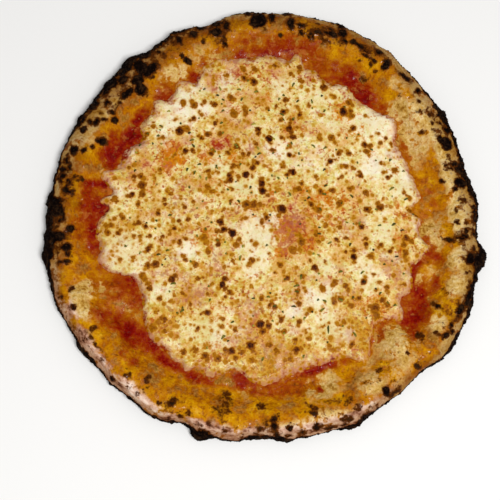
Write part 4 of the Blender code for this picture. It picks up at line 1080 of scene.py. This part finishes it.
def build_cheese():
    angles, share = disc_grid(CHEESE_CELLS)
    x, y = place(angles, share)
    around = np.column_stack([x, y, np.zeros_like(x)])
    ragged = layered(around * CHEESE_RAGGED_AT, CHEESE_RAGGED)
    ragged *= MM * ease(share * 4.0 - 3.0)
    radii = share * (cheese_radius(angles) + ragged)
    inside = (1.0 - share) * cheese_radius(angles) / MM
    x, y = place(angles, radii)
    base = dough_top(angles, radii) + LAYER_GAP + SAUCE_THICKNESS
    points = np.column_stack([x, y, base])
    masks = cheese_marks(points, inside)
    dough = bake_marks(points, angles, radii, base, np.zeros_like(radii))
    masks["stain"] = np.where(inside < CHEESE_STAINED, dough["stain"], CHEESE_STAIN_INSIDE)
    body = ease(inside / CHEESE_SHOULDER) ** CHEESE_SHOULDER_FULLNESS
    thickness = (CHEESE_THICKNESS + CHEESE_EXTRA) * body + mounds(x, y, LUMPS) * body
    thickness -= EDGE_DIP * (1.0 - ease(inside / CHEESE_LIP))
    thickness -= CHEESE_THINNED * masks["thin"] * body
    grain = layered(points, CHEESE_GRAIN)
    thickness += grain * (1.0 - CHEESE_POOL_CALM * masks["pool"]) * body
    thickness += SPOT_LIFT * ease(0.5 + masks["toast"] / RAISED_OVER) * body
    points[:, 2] = base + thickness
    line = CHEESE_CELLS + 1
    index = np.arange(line * line).reshape(line, line)
    a, b, c, d = (index[s] for s in (np.s_[:-1, :-1], np.s_[1:, :-1], np.s_[1:, 1:],
                                     np.s_[:-1, 1:]))
    faces = list(np.column_stack([a.ravel(), b.ravel(), c.ravel(), d.ravel()]))
    border = np.concatenate([index[:-1, 0], index[-1, :-1], index[:0:-1, -1], index[0, :0:-1]])
    low = points[border].copy()
    low[:, 2] = base[border] - EDGE_DIP - CHEESE_SKIN
    first = len(points)
    points = np.vstack([points, low, [[0.0, 0.0, FLOOR_THICKNESS + LAYER_GAP]]])
    middle = len(points) - 1
    count = len(border)
    for i in range(count):
        j = (i + 1) % count
        faces.append(np.array([border[j], border[i], first + i, first + j]))
        faces.append(np.array([first + j, first + i, middle]))
    for key, values in masks.items():
        masks[key] = np.concatenate([values, values[border], [0.0]])
    return plain_object("melted_cheese", points, faces, masks)


# ------------------------------------------------------------------------------------------
# Materials
# ------------------------------------------------------------------------------------------
# Each colour is laid over those before it, where a sum of marks and mottling passes a limit.
# Mottling stays mostly between 0.4 and 0.6, so a limit is about half of the mottling's factors
# and the share of the mark that is wanted.
def linear(colour):
    """An sRGB hex colour as linear red, green, blue and alpha."""
    parts = [int(colour[i:i + 2], 16) / 255.0 for i in (1, 3, 5)]
    return (*[p / 12.92 if p <= 0.04045 else ((p + 0.055) / 1.055) ** 2.4 for p in parts], 1.0)


def give(tree, node, links):
    """Gives a node's inputs their values: numbers, sRGB hex colours, sockets to link, or nodes,
    which stand for their first output."""
    for key, value in links.items():
        if isinstance(value, bpy.types.Node):
            value = value.outputs[0]
        if isinstance(value, bpy.types.NodeSocket):
            tree.links.new(value, node.inputs[key])
        elif isinstance(value, str) and value.startswith("#"):
            node.inputs[key].default_value = linear(value)
        else:
            node.inputs[key].default_value = value


def add(tree, kind, links=None, stops=(), **settings):
    """Adds a node with its settings and links, and the stops of its colour ramp if it has one."""
    node = tree.nodes.new(kind)
    for key, value in settings.items():
        setattr(node, key, value)
    for i, (at, colour) in enumerate(stops):
        elements = node.color_ramp.elements
        element = elements[i] if i < 2 else elements.new(at)
        element.position = at
        element.color = linear(colour)
    give(tree, node, links or {})
    return node


def new_material(name, constants):
    """A material, its tree, its shader with these constants, and where each point lies."""
    material = bpy.data.materials.new(name)
    material.use_nodes = True
    tree = material.node_tree
    shader = tree.nodes["Principled BSDF"]
    give(tree, shader, constants)
    where = add(tree, "ShaderNodeTexCoord").outputs["Object"]
    return material, tree, shader, where


def mixed(tree, *parts, plus=0.0):
    """The sum of values, each given with its factor, and a number."""
    total = plus
    for value, factor in parts:
        total = add(tree, "ShaderNodeMath", {0: value, 1: factor, 2: total},
                    operation="MULTIPLY_ADD")
    return total


def past(tree, low, high, *parts, to=(0.0, 1.0)):
    """How far the sum of values, each given with its factor, has come from low to high, with a
    smooth start and end, turned to the range to."""
    return add(tree, "ShaderNodeMapRange", {
        "Value": mixed(tree, *parts), "From Min": low, "From Max": high, "To Min": to[0],
        "To Max": to[1]}, interpolation_type="SMOOTHSTEP")


def laid(tree, share, under, over, strength=1.0, mode="MIX"):
    """A colour with another laid over it, as far as the share and the strength say."""
    return add(tree, "ShaderNodeMix", {0: mixed(tree, (share, strength)), 6: under, 7: over},
               data_type="RGBA", blend_type=mode, clamp_factor=True).outputs[2]


def mottled(tree, at, size, detail=3.0, roughness=0.55, distortion=0.0, moved=0.0):
    """Mottling whose spots are about size millimetres wide. moved picks another part of it."""
    there = add(tree, "ShaderNodeVectorMath", {0: at, 1: (moved, 0.7 * moved, -moved)},
                operation="ADD")
    return add(tree, "ShaderNodeTexNoise", {
        "Vector": there, "Scale": 0.5 / (size * MM), "Detail": detail,
        "Roughness": roughness, "Distortion": distortion})


def sauce_colour(tree, stain, medium, fine):
    """Tomato sauce cooked into the dough: from golden oil over orange to deep red."""
    deep = mixed(tree, (stain, 1.0), (medium, 2.0), (fine, 0.5), plus=-1.25)
    return add(tree, "ShaderNodeValToRGB", {"Fac": deep}, stops=[
        (0.0, "#BC7A00"), (0.2, "#B06A00"), (0.36, "#A45600"), (0.52, "#984200"),
        (0.68, "#8E2A00"), (0.84, "#820E00"), (1.0, "#6C0000")])


def baked_dough(name, wet):
    """Wood-fired wheat dough, hand stretched: matt and dusted with flour outside, soaked with
    golden oil inside, with caramel blisters and soft black char. The flour on the outer wall is
    painted paler to light up the wall's shade, with painted light and shade in level stripes along
    its wrinkles. The sauce baked onto it is the same surface, wetter. wet is 0 for the dough and 1
    for the sauce."""
    material, tree, shader, where = new_material(name, {
        "IOR": 1.45, "Subsurface Weight": 0.03, "Subsurface Scale": 0.8 * MM,
        "Subsurface Radius": (1.0, 0.8, 0.6), "Specular IOR Level": 0.03,
        "Coat Roughness": 0.15})
    char, smoky, stain, gold, brown, wall, floury_and_painted_light_share = (
        add(tree, "ShaderNodeAttribute", attribute_name=key).outputs["Fac"]
        for key in ("char", "smoky", "stain", "gold", "brown", "wall", "floury"))
    # The oil runs down the slope, so its streaks are 2 mm wide and twice as long outwards.
    flat = add(tree, "ShaderNodeVectorMath", {0: where, 1: (1.0, 1.0, 0.0)},
               operation="MULTIPLY")
    out = add(tree, "ShaderNodeVectorMath", {0: flat}, operation="LENGTH").outputs["Value"]
    facing = add(tree, "ShaderNodeVectorMath", {0: flat}, operation="NORMALIZE")
    ringed = add(tree, "ShaderNodeVectorMath", {0: facing, "Scale": STREAK_RING},
                 operation="SCALE")
    rise = add(tree, "ShaderNodeCombineXYZ", {2: mixed(tree, (out, STREAK_SHORTENED))})
    streaked = add(tree, "ShaderNodeVectorMath", {0: ringed, 1: rise}, operation="ADD")
    streaks = mottled(tree, streaked, 2.0, 3.0, 0.6)
    broad = mottled(tree, where, 6.0, 2.0, 0.5, moved=0.31)
    melted = mottled(tree, where, 4.0, 3.0, 0.6, 0.4, moved=0.73)
    medium = mottled(tree, where, 2.6, 4.0, 0.65)
    fine = mottled(tree, where, 0.9, 2.0, 0.6)
    freckle = mottled(tree, where, 1.3, 1.0, 0.5, moved=0.57)

    grain = mixed(tree, (medium, 0.4), (fine, 0.2), (broad, 0.4))
    dry = add(tree, "ShaderNodeValToRGB", {"Fac": grain}, stops=[
        (0.37, "#96641A"), (0.42, "#BE903E"), (0.48, "#D7B268"), (0.54, "#ECD49A"),
        (0.61, "#FBECC2")])
    # Painted light and shade on the flour-dusted outer wall: level stripes along its wrinkles,
    # dark in the creases and pale on the ridges, over a colour painted paler than flour to light
    # up its shade.
    lined = add(tree, "ShaderNodeVectorMath", {0: where, 1: WRINKLE_STRETCH},
                operation="MULTIPLY")
    wrinkle_light_and_shade = mixed(tree, (grain, 0.5), (mottled(tree, lined, 1.6, 3.0, 0.6), 0.5))
    floury = add(tree, "ShaderNodeValToRGB", {"Fac": wrinkle_light_and_shade}, stops=[
        (0.38, "#44200E"), (0.415, "#8E5E44"), (0.45, "#C4967C"), (0.51, "#E8C4AC"),
        (0.585, "#FFEAD8")])
    colour = laid(tree, floury_and_painted_light_share, dry, floury)
    uneven = mixed(tree, (medium, 0.25), (fine, 0.15), (streaks, 0.15), (broad, 0.45))
    oiled = add(tree, "ShaderNodeValToRGB", {"Fac": uneven}, stops=[
        (0.39, "#6E3000"), (0.44, "#985000"), (0.48, "#B06600"), (0.52, "#C07C00"),
        (0.565, "#D29400"), (0.61, "#E4B024")])
    golden = past(tree, 2.3, 3.1, (gold, 1.0), (medium, 2.2), (broad, 2.2))
    colour = laid(tree, golden, colour, oiled)
    milky = past(tree, 0.82, 1.0, (melted, 1.0), (medium, 0.5), (smoky, -0.2))
    colour = laid(tree, milky, colour, "#E2B450", 0.22)
    red = sauce_colour(tree, stain, mixed(tree, (medium, 0.5), (melted, 0.5)), fine)
    soaked = past(tree, 1.85, 2.2, (stain, 1.0), (medium, 2.4), (broad, 1.2))
    colour = laid(tree, soaked, colour, red)
    clouds = past(tree, 0.71, 0.84, (melted, 1.0), (fine, 0.3))
    colour = laid(tree, mixed(tree, (clouds, soaked)), colour, "#D88A38", 0.36)
    sooted = past(tree, 0.55, 1.3, (smoky, 1.0), (broad, 1.0))
    colour = laid(tree, sooted, colour, "#A88858", 0.75, "MULTIPLY")
    near_char = past(tree, -3.0, 0.0, (char, 1.0))
    scorched = mixed(tree, (brown, 0.9), (smoky, 0.3), (medium, 3.6), (broad, 1.6),
                     (fine, 1.4), (near_char, 0.35))
    toasted = past(tree, 3.9, 4.6, (scorched, 1.0))
    colour = laid(tree, toasted, colour, "#6A3604", 0.8)
    darkened = past(tree, 4.5, 4.9, (scorched, 1.0))
    colour = laid(tree, darkened, colour, "#220E02", 0.85)
    specked = past(tree, 0.66, 0.78, (freckle, 1.0), (brown, 0.06), (wall, 0.05))
    colour = laid(tree, specked, colour, "#6A3406", 0.6)
    # The outline of each burnt mark is moved by up to a millimetre.
    burnt = mixed(tree, (char, 1.0), (medium, 5.0), (fine, 2.2), plus=-3.6)
    singed = past(tree, -1.3, -0.1, (burnt, 1.0))
    colour = laid(tree, singed, colour, "#4E2402")
    soot = add(tree, "ShaderNodeValToRGB", {
        "Fac": mixed(tree, (fine, 0.4), (medium, 0.6))}, stops=[
        (0.42, "#070302"), (0.52, "#120805"), (0.62, "#34200F")])
    colour = laid(tree, past(tree, -0.1, 0.6, (burnt, 1.0)), colour, soot)

    oily = add(tree, "ShaderNodeMath", {0: golden, 1: soaked}, operation="MAXIMUM")
    dryness = past(tree, 0.0, 1.0, (oily, 1.0), to=(0.8, 0.5 - 0.08 * wet))
    matt = past(tree, -1.0, 0.5, (burnt, 1.0), to=(0.0, 0.4))
    roughness = add(tree, "ShaderNodeMath", {0: dryness, 1: matt}, operation="ADD",
                    use_clamp=True)
    # Droplets of oil a millimetre wide catch the light where nothing is burnt.
    droplets = past(tree, 0.62, 0.69, (mottled(tree, where, 1.0, 1.0, 0.5, moved=0.91), 1.0),
                    to=(0.03, 0.5))
    unburnt = past(tree, -1.0, 0.5, (burnt, 1.0), to=(1.0, 0.0))
    gleam = mixed(tree, (mixed(tree, (oily, unburnt)), droplets))
    relief = mixed(tree, (medium, 0.9), (fine, 1.0), (freckle, 0.3))
    bump = add(tree, "ShaderNodeBump", {
        "Height": relief, "Strength": 0.9 - 0.1 * wet, "Distance": 0.9 * MM})
    give(tree, shader, {
        "Base Color": colour, "Roughness": roughness, "Coat Weight": gleam, "Normal": bump})
    return material


def blisters(tree, where, every, smallest, largest, moved):
    """How many millimetres inside one of many small round blisters a point lies. There is one
    for every so many millimetres, and those below zero in size are left out."""
    at = add(tree, "ShaderNodeVectorMath", {0: where, 1: (moved, moved, 0.0)},
             operation="ADD")
    cells = add(tree, "ShaderNodeTexVoronoi", {
        "Vector": at, "Scale": 1.0 / (every * MM), "Randomness": 1.0},
        voronoi_dimensions="3D", feature="F1")
    chance = add(tree, "ShaderNodeSeparateXYZ", {0: cells.outputs["Color"]})
    size = add(tree, "ShaderNodeMapRange", {
        "Value": chance, "To Min": smallest, "To Max": largest})
    return mixed(tree, (size, 1.0), (cells.outputs["Distance"], -every))


def melted_mozzarella():
    """Low-moisture mozzarella, grated and melted: a cream mass that stays a little grainy,
    with smooth pale pools, toasted blisters and a film of orange oil that makes it gleam."""
    material, tree, shader, where = new_material("melted_mozzarella", {
        "IOR": 1.46, "Subsurface Weight": 0.04, "Subsurface Scale": 0.8 * MM,
        "Subsurface Radius": (1.0, 0.8, 0.6), "Specular IOR Level": 0.06,
        "Coat Roughness": 0.12})
    toast, depth, pool, thin, oil, edge, tone, stain = (
        add(tree, "ShaderNodeAttribute", attribute_name=key).outputs["Fac"]
        for key in ("toast", "depth", "pool", "thin", "oil", "edge", "tone", "stain"))
    areas = mottled(tree, where, 13.0, 2.0, 0.5, moved=0.21)
    patches = mottled(tree, where, 9.0, 2.0, 0.5, moved=0.67)
    melted = mottled(tree, where, 4.2, 3.0, 0.6, 0.4, moved=0.37)
    shreds = mottled(tree, where, 2.4, 4.0, 0.65, 0.5)
    grated = mottled(tree, where, 1.6, 3.0, 0.6, moved=0.83)
    fine = mottled(tree, where, 0.8, 2.0, 0.6)
    spread = mixed(tree, (shreds, 0.6), (fine, 0.4))

    whiter = mixed(tree, (grated, 0.3), (melted, 0.45), (fine, 0.25), (pool, 0.05),
                   (tone, 0.035))
    colour = add(tree, "ShaderNodeValToRGB", {"Fac": whiter}, stops=[
        (0.39, "#C89834"), (0.435, "#DAB456"), (0.475, "#E6CA80"), (0.53, "#F2E2A6"),
        (0.60, "#FCF4D2")])
    warmer = past(tree, 0.65, 0.75, (shreds, 0.7), (fine, 0.3), (areas, 0.3), (pool, -0.12),
                  (tone, -0.05))
    colour = laid(tree, warmer, colour, "#CA8412", 0.65)
    browner = past(tree, 0.68, 0.75, (grated, 0.8), (fine, 0.2), (areas, 0.25), (pool, -0.16),
                   (tone, -0.05))
    colour = laid(tree, browner, colour, "#A86800", 0.8)
    pinker = past(tree, 0.92, 1.06, (areas, 1.0), (melted, 0.8), (pool, -0.15))
    colour = laid(tree, pinker, colour, "#D49C7C", 0.3)
    sandy = past(tree, 0.76, 0.9, (patches, 1.0), (melted, 0.5), (pool, -0.2))
    colour = laid(tree, sandy, colour, "#E6AC40", 0.65, "MULTIPLY")
    hue = mixed(tree, (mottled(tree, where, 3.2, 2.0, 0.5, 0.4, moved=1.13), 0.5),
                (mottled(tree, where, 1.1, 2.0, 0.5, moved=1.37), 0.5))
    greener = past(tree, 0.49, 0.57, (hue, 1.0), to=(0.0, 0.5))
    colour = laid(tree, greener, colour, "#E6F2C4", mode="MULTIPLY")
    rosier = past(tree, 0.43, 0.50, (hue, 1.0), to=(0.3, 0.0))
    colour = laid(tree, rosier, colour, "#FAD8D0", mode="MULTIPLY")
    calm = past(tree, 0.95, 2.05, (pool, 1.0), (melted, 1.4), (grated, 0.5))
    cream = add(tree, "ShaderNodeValToRGB", {
        "Fac": mixed(tree, (areas, 1.0), (tone, 0.1))}, stops=[
        (0.38, "#D8C688"), (0.62, "#F8ECD4")])
    colour = laid(tree, calm, colour, cream, 0.62)
    blush = past(tree, 1.35, 2.0, (thin, 1.0), (spread, 2.4))
    rosy = laid(tree, past(tree, 0.2, 0.6, (oil, 1.0)), "#CE8560", "#D48C24")
    colour = laid(tree, blush, colour, rosy, 0.6)
    film = past(tree, 2.9, 3.55, (oil, 1.2), (spread, 4.0), (grated, 1.5))
    colour = laid(tree, film, colour, "#E09406", mode="MULTIPLY")
    through = past(tree, 1.9, 2.4, (thin, 1.0), (spread, 2.8))
    colour = laid(tree, through, colour, "#A02800")
    skirt = past(tree, 2.1, 3.0, (edge, 1.0), (areas, 1.2), (melted, 1.0), (spread, 2.0))
    colour = laid(tree, skirt, colour, "#BE8468", 0.8)
    shallow = past(tree, 2.25, 2.75, (edge, 1.0), (melted, 1.4), (spread, 2.0))
    colour = laid(tree, shallow, colour, sauce_colour(tree, stain, shreds, fine))

    larger, smaller = (blisters(tree, where, *row) for row in SMALL_BLISTERS)
    small = add(tree, "ShaderNodeMath", {0: larger, 1: smaller}, operation="MAXIMUM")
    small = mixed(tree, (small, 1.0), (pool, -0.6), (tone, -0.35))
    seared = add(tree, "ShaderNodeMath", {0: toast, 1: small}, operation="MAXIMUM")
    seared = mixed(tree, (seared, 1.0), (shreds, 2.0), (fine, 1.4), plus=-1.7)
    halo = past(tree, -1.2, 0.0, (seared, 1.0))
    colour = laid(tree, halo, colour, "#C48410", 0.7)
    dark = mixed(tree, (depth, 0.8), (seared, 0.12), (fine, 1.2), (shreds, 0.8), plus=-1.0)
    baked = add(tree, "ShaderNodeValToRGB", {"Fac": dark}, stops=[
        (0.1, "#AE7200"), (0.34, "#945400"), (0.55, "#783E00"), (0.78, "#522000"),
        (1.0, "#240800")])
    # Lightly toasted blisters stay golden in the middle.
    middle = past(tree, 0.3, 1.2, (seared, 1.0))
    light = past(tree, 0.3, 0.6, (depth, 1.0), to=(0.35, 0.0))
    baked = laid(tree, mixed(tree, (middle, light)), baked, "#B07000")
    colour = laid(tree, past(tree, -0.16, 0.22, (seared, 1.0)), colour, baked)

    coat = past(tree, 0.0, 0.4, (depth, 1.0), (thin, 0.6), (oil, 0.5), to=(0.14, 0.01))
    dry = past(tree, 0.0, 1.0, (pool, 1.0), to=(0.5, 0.36))
    roughness = mixed(tree, (dry, 1.0), (oil, -0.12))
    grainy = mixed(tree, (pool, -0.6), plus=1.0)
    relief = mixed(tree, (shreds, grainy), (fine, grainy))
    bump = add(tree, "ShaderNodeBump", {"Height": relief, "Strength": 0.7, "Distance": 0.5 * MM})
    give(tree, shader, {
        "Base Color": colour, "Roughness": roughness, "Coat Weight": coat, "Normal": bump})
    return material


def dried_oregano():
    """Dried oregano, rubbed: brittle dull green leaf, darker where the oven caught it."""
    material, tree, shader, where = new_material("dried_oregano", {
        "Roughness": 0.8, "Specular IOR Level": 0.2})
    colour = add(tree, "ShaderNodeValToRGB", {"Fac": mottled(tree, where, 3.0, 2.0)}, stops=[
        (0.35, "#33280A"), (0.5, "#5E5A14"), (0.7, "#A89A34")])
    bump = add(tree, "ShaderNodeBump", {
        "Height": mottled(tree, where, 0.4, 2.0), "Strength": 0.5, "Distance": 0.2 * MM})
    give(tree, shader, {"Base Color": colour, "Normal": bump})
    return material


def burnt_crumb():
    """Carbonised flour and dough crumbs: matt black with a grey bloom."""
    material, tree, shader, where = new_material("burnt_crumb", {
        "Roughness": 0.9, "Specular IOR Level": 0.15})
    colour = add(tree, "ShaderNodeValToRGB", {"Fac": mottled(tree, where, 0.8, 2.0)}, stops=[
        (0.4, "#080606"), (0.75, "#382A20")])
    give(tree, shader, {"Base Color": colour})
    return material


# ------------------------------------------------------------------------------------------
# Things scattered on the layers, made with Geometry Nodes
# ------------------------------------------------------------------------------------------
def new_tree(name, inputs):
    """A Geometry Nodes tree with a geometry input and output and these named inputs."""
    tree = bpy.data.node_groups.new(name, "GeometryNodeTree")
    tree.interface.new_socket("Geometry", in_out="INPUT", socket_type="NodeSocketGeometry")
    tree.interface.new_socket("Geometry", in_out="OUTPUT", socket_type="NodeSocketGeometry")
    for key, kind in inputs.items():
        tree.interface.new_socket(key, in_out="INPUT", socket_type="NodeSocket" + kind)
    given = tree.nodes.new("NodeGroupInput").outputs
    return tree, given, tree.nodes.new("NodeGroupOutput")


def grown(obj, tree, values):
    """The object's mesh as the tree makes it from these values, as a plain mesh object."""
    modifier = obj.modifiers.new(tree.name, "NODES")
    modifier.node_group = tree
    for item in tree.interface.items_tree:
        if item.in_out == "INPUT" and item.name in values:
            modifier[item.identifier] = values[item.name]
    bpy.context.view_layer.update()
    evaluated = obj.evaluated_get(bpy.context.evaluated_depsgraph_get())
    mesh = bpy.data.meshes.new_from_object(evaluated)
    obj.modifiers.remove(modifier)
    return in_scene(tree.name, mesh)


def flake_tree():
    """Herb flakes: each point is dropped onto the surface below it and carries a flake."""
    tree, given, made = new_tree("oregano_flakes", {
        "Surface": "Object", "Width": "Float", "Thickness": "Float", "Sunk": "Float",
        "Drop": "Float", "Material": "Material"})
    ground = add(tree, "GeometryNodeObjectInfo", {"Object": given["Surface"]})
    fall = add(tree, "ShaderNodeCombineXYZ", {2: -1.0})
    hit = add(tree, "GeometryNodeRaycast", {
        "Target Geometry": ground.outputs["Geometry"], "Ray Direction": fall,
        "Ray Length": given["Drop"]}).outputs
    proud = mixed(tree, (given["Thickness"], 0.5), (given["Sunk"], -1.0))
    upward = add(tree, "ShaderNodeVectorMath", {0: hit["Hit Normal"], "Scale": proud},
                 operation="SCALE")
    at = add(tree, "ShaderNodeVectorMath", {0: hit["Hit Position"], 1: upward},
             operation="ADD")
    landed = add(tree, "GeometryNodeSetPosition", {
        "Geometry": given["Geometry"], "Position": at})
    turn = add(tree, "GeometryNodeInputNamedAttribute", {"Name": "turn"}, data_type="FLOAT")
    length = add(tree, "GeometryNodeInputNamedAttribute", {"Name": "length"},
                 data_type="FLOAT")
    leaning = add(tree, "FunctionNodeAlignRotationToVector", {"Vector": hit["Hit Normal"]},
                  axis="Z")
    spin = add(tree, "ShaderNodeCombineXYZ", {2: turn})
    spun = add(tree, "FunctionNodeRotateRotation", {"Rotation": leaning, "Rotate By": spin},
               rotation_space="LOCAL")
    size = add(tree, "ShaderNodeCombineXYZ", {0: length, 1: given["Width"],
                                              2: given["Thickness"]})
    leaf = add(tree, "GeometryNodeMeshIcoSphere", {"Radius": 0.5, "Subdivisions": 2})
    curl = add(tree, "ShaderNodeTexNoise", {
        "Vector": add(tree, "GeometryNodeInputPosition"), "Scale": FLAKE_CURLS})
    curled_by = add(tree, "ShaderNodeVectorMath", {
        0: curl.outputs["Color"], 1: (0.5, 0.5, 0.5)}, operation="SUBTRACT")
    curled = add(tree, "GeometryNodeSetPosition", {
        "Geometry": leaf.outputs["Mesh"], "Offset": curled_by})
    spread = add(tree, "GeometryNodeInstanceOnPoints", {
        "Points": landed, "Instance": curled, "Rotation": spun, "Scale": size})
    real = add(tree, "GeometryNodeRealizeInstances", {"Geometry": spread})
    crumple = add(tree, "ShaderNodeTexNoise", {
        "Vector": add(tree, "GeometryNodeInputPosition"), "Scale": FLAKE_CRUMPLES})
    crumpled_by = add(tree, "ShaderNodeVectorMath", {
        0: crumple.outputs["Color"], 1: (0.5, 0.5, 0.5)}, operation="SUBTRACT")
    soft = add(tree, "ShaderNodeVectorMath", {0: crumpled_by, "Scale": FLAKE_CRUMPLE},
               operation="SCALE")
    bent = add(tree, "GeometryNodeSetPosition", {"Geometry": real, "Offset": soft})
    done = add(tree, "GeometryNodeSetMaterial", {
        "Geometry": bent, "Material": given["Material"]})
    give(tree, made, {0: done})
    return tree


def crumb_tree():
    """Crumbs strewn at random over a surface, thickest where an attribute of it is high."""
    tree, given, made = new_tree("burnt_crumbs", {
        "Density": "Float", "Smallest": "Float", "Largest": "Float", "Where": "String",
        "Material": "Material", "Seed": "Int"})
    wanted = add(tree, "GeometryNodeInputNamedAttribute", {"Name": given["Where"]},
                 data_type="FLOAT")
    spots = add(tree, "GeometryNodeDistributePointsOnFaces", {
        "Mesh": given["Geometry"], "Density": mixed(tree, (wanted, given["Density"])),
        "Seed": given["Seed"]})
    size = add(tree, "FunctionNodeRandomValue", {
        2: given["Smallest"], 3: given["Largest"], "Seed": given["Seed"]}, data_type="FLOAT")
    spin = add(tree, "FunctionNodeRandomValue", {
        0: (0.0, 0.0, 0.0), 1: (6.3, 6.3, 6.3), "Seed": given["Seed"]},
        data_type="FLOAT_VECTOR")
    crumb = add(tree, "GeometryNodeMeshIcoSphere", {"Radius": 1.0, "Subdivisions": 1})
    flat = add(tree, "GeometryNodeTransform", {
        "Geometry": crumb.outputs["Mesh"], "Scale": CRUMB_FORM})
    spread = add(tree, "GeometryNodeInstanceOnPoints", {
        "Points": spots.outputs["Points"], "Instance": flat, "Rotation": spin,
        "Scale": size.outputs[1]})
    real = add(tree, "GeometryNodeRealizeInstances", {"Geometry": spread})
    done = add(tree, "GeometryNodeSetMaterial", {
        "Geometry": real, "Material": given["Material"]})
    give(tree, made, {0: done})
    return tree


def build_flakes(cheese):
    draw = np.random.default_rng(HERB_DUST_SEED)
    table = list(HERB_FLAKES)
    for _ in range(HERB_DUST):
        at = place(draw.uniform(0.0, 360.0), HERB_DUST_REACH * math.sqrt(draw.uniform(0.0, 1.0)))
        table.append((*at, draw.uniform(0.0, 180.0), draw.uniform(*HERB_DUST_LENGTH)))
    x, y, turn, length = np.array(table, float).T
    points = np.column_stack([x * MM, y * MM, np.full_like(x, FLAKE_START)])
    mesh = bpy.data.meshes.new("flake_points")
    mesh.from_pydata([tuple(p) for p in points], [], [])
    write_mask(mesh, "turn", np.radians(turn))
    write_mask(mesh, "length", length * MM)
    seeds = in_scene("flake_points", mesh)
    piece = grown(seeds, flake_tree(), {
        "Surface": cheese, "Width": FLAKE_WIDTH, "Thickness": FLAKE_THICKNESS,
        "Sunk": FLAKE_SUNK, "Drop": FLAKE_DROP, "Material": dried_oregano()})
    bpy.data.objects.remove(seeds, do_unlink=True)
    return piece


def build_crumbs(dough):
    mesh = dough.data
    masks = {}
    for key in ("char", "wall", "base"):
        masks[key] = np.zeros(len(mesh.vertices), np.float32)
        mesh.attributes[key].data.foreach_get("value", masks[key])
    points = np.zeros(len(mesh.vertices) * 3, np.float32)
    mesh.vertices.foreach_get("co", points)
    strewn = np.clip(masks["char"], 0.0, 1.0)
    strewn *= np.clip(masks["wall"] * CRUMB_RISE - CRUMB_LATE, 0.0, 1.0)
    strewn *= points[2::3] > CRUMB_LOWEST
    write_mask(mesh, "crumbly", strewn * (masks["base"] < 0.5))
    smallest, largest = CRUMB_SIZE
    return grown(dough, crumb_tree(), {
        "Density": CRUMBS_PER_SQUARE_METRE, "Smallest": smallest, "Largest": largest,
        "Where": "crumbly", "Material": burnt_crumb(), "Seed": CRUMB_SEED})


# ------------------------------------------------------------------------------------------
# The stage
# ------------------------------------------------------------------------------------------
def make_camera():
    """Almost straight above, leaning a little to the lower left."""
    back = (EYE - CAMERA_AIM).normalized()
    right = Vector((0.0, 1.0, 0.0)).cross(back).normalized()
    up = back.cross(right)
    data = bpy.data.cameras.new("camera")
    data.lens = LENS
    data.sensor_width = SENSOR
    data.clip_start = NEAREST_SEEN
    camera = in_scene("camera", data)
    turned = Matrix((right, up, back)).transposed().to_4x4()
    camera.matrix_world = Matrix.Translation(EYE) @ turned
    bpy.context.scene.camera = camera


def make_floor():
    """A plain matt floor, so pale that only the pizza has colour."""
    mesh = bpy.data.meshes.new("floor")
    h, z = FLOOR_HALF, -FLOOR_DROP
    mesh.from_pydata([(-h, -h, z), (h, -h, z), (h, h, z), (-h, h, z)], [], [(0, 1, 2, 3)])
    material, *_ = new_material("pale_floor", {"Base Color": "#F4F3F1", "Roughness": 0.8})
    mesh.materials.append(material)
    floor = in_scene("floor", mesh)


def make_light():
    """One softbox above the lower right, and an even white sky."""
    data = bpy.data.lights.new("softbox", "AREA")
    data.shape = "SQUARE"
    data.size = SOFTBOX_SIZE
    data.energy = SOFTBOX_WATTS
    light = in_scene("softbox", data)
    light.location = SOFTBOX_FROM
    light.rotation_euler = SOFTBOX_FROM.to_track_quat("Z", "Y").to_euler()
    world = bpy.data.worlds.new("sky")
    world.use_nodes = True
    give(world.node_tree, world.node_tree.nodes["Background"], {
        "Color": "#FFFFFF", "Strength": SKY_STRENGTH})
    bpy.context.scene.world = world
    bpy.context.scene.view_settings.view_transform = "Standard"


def main():
    make_camera()
    make_floor()
    make_light()

    dough = build_dough()
    dough.data.materials.append(baked_dough("wood_fired_dough", 0.0))
    sauce = build_sauce()
    sauce.data.materials.append(baked_dough("baked_tomato_sauce", 1.0))
    cheese = build_cheese()
    cheese.data.materials.append(melted_mozzarella())
    flakes = build_flakes(cheese)
    crumbs = build_crumbs(dough)

    for piece in (dough, sauce, cheese, flakes, crumbs):
        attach(piece, "root")
    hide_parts("crust")
    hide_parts("sauce")
    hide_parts("cheese")


main()
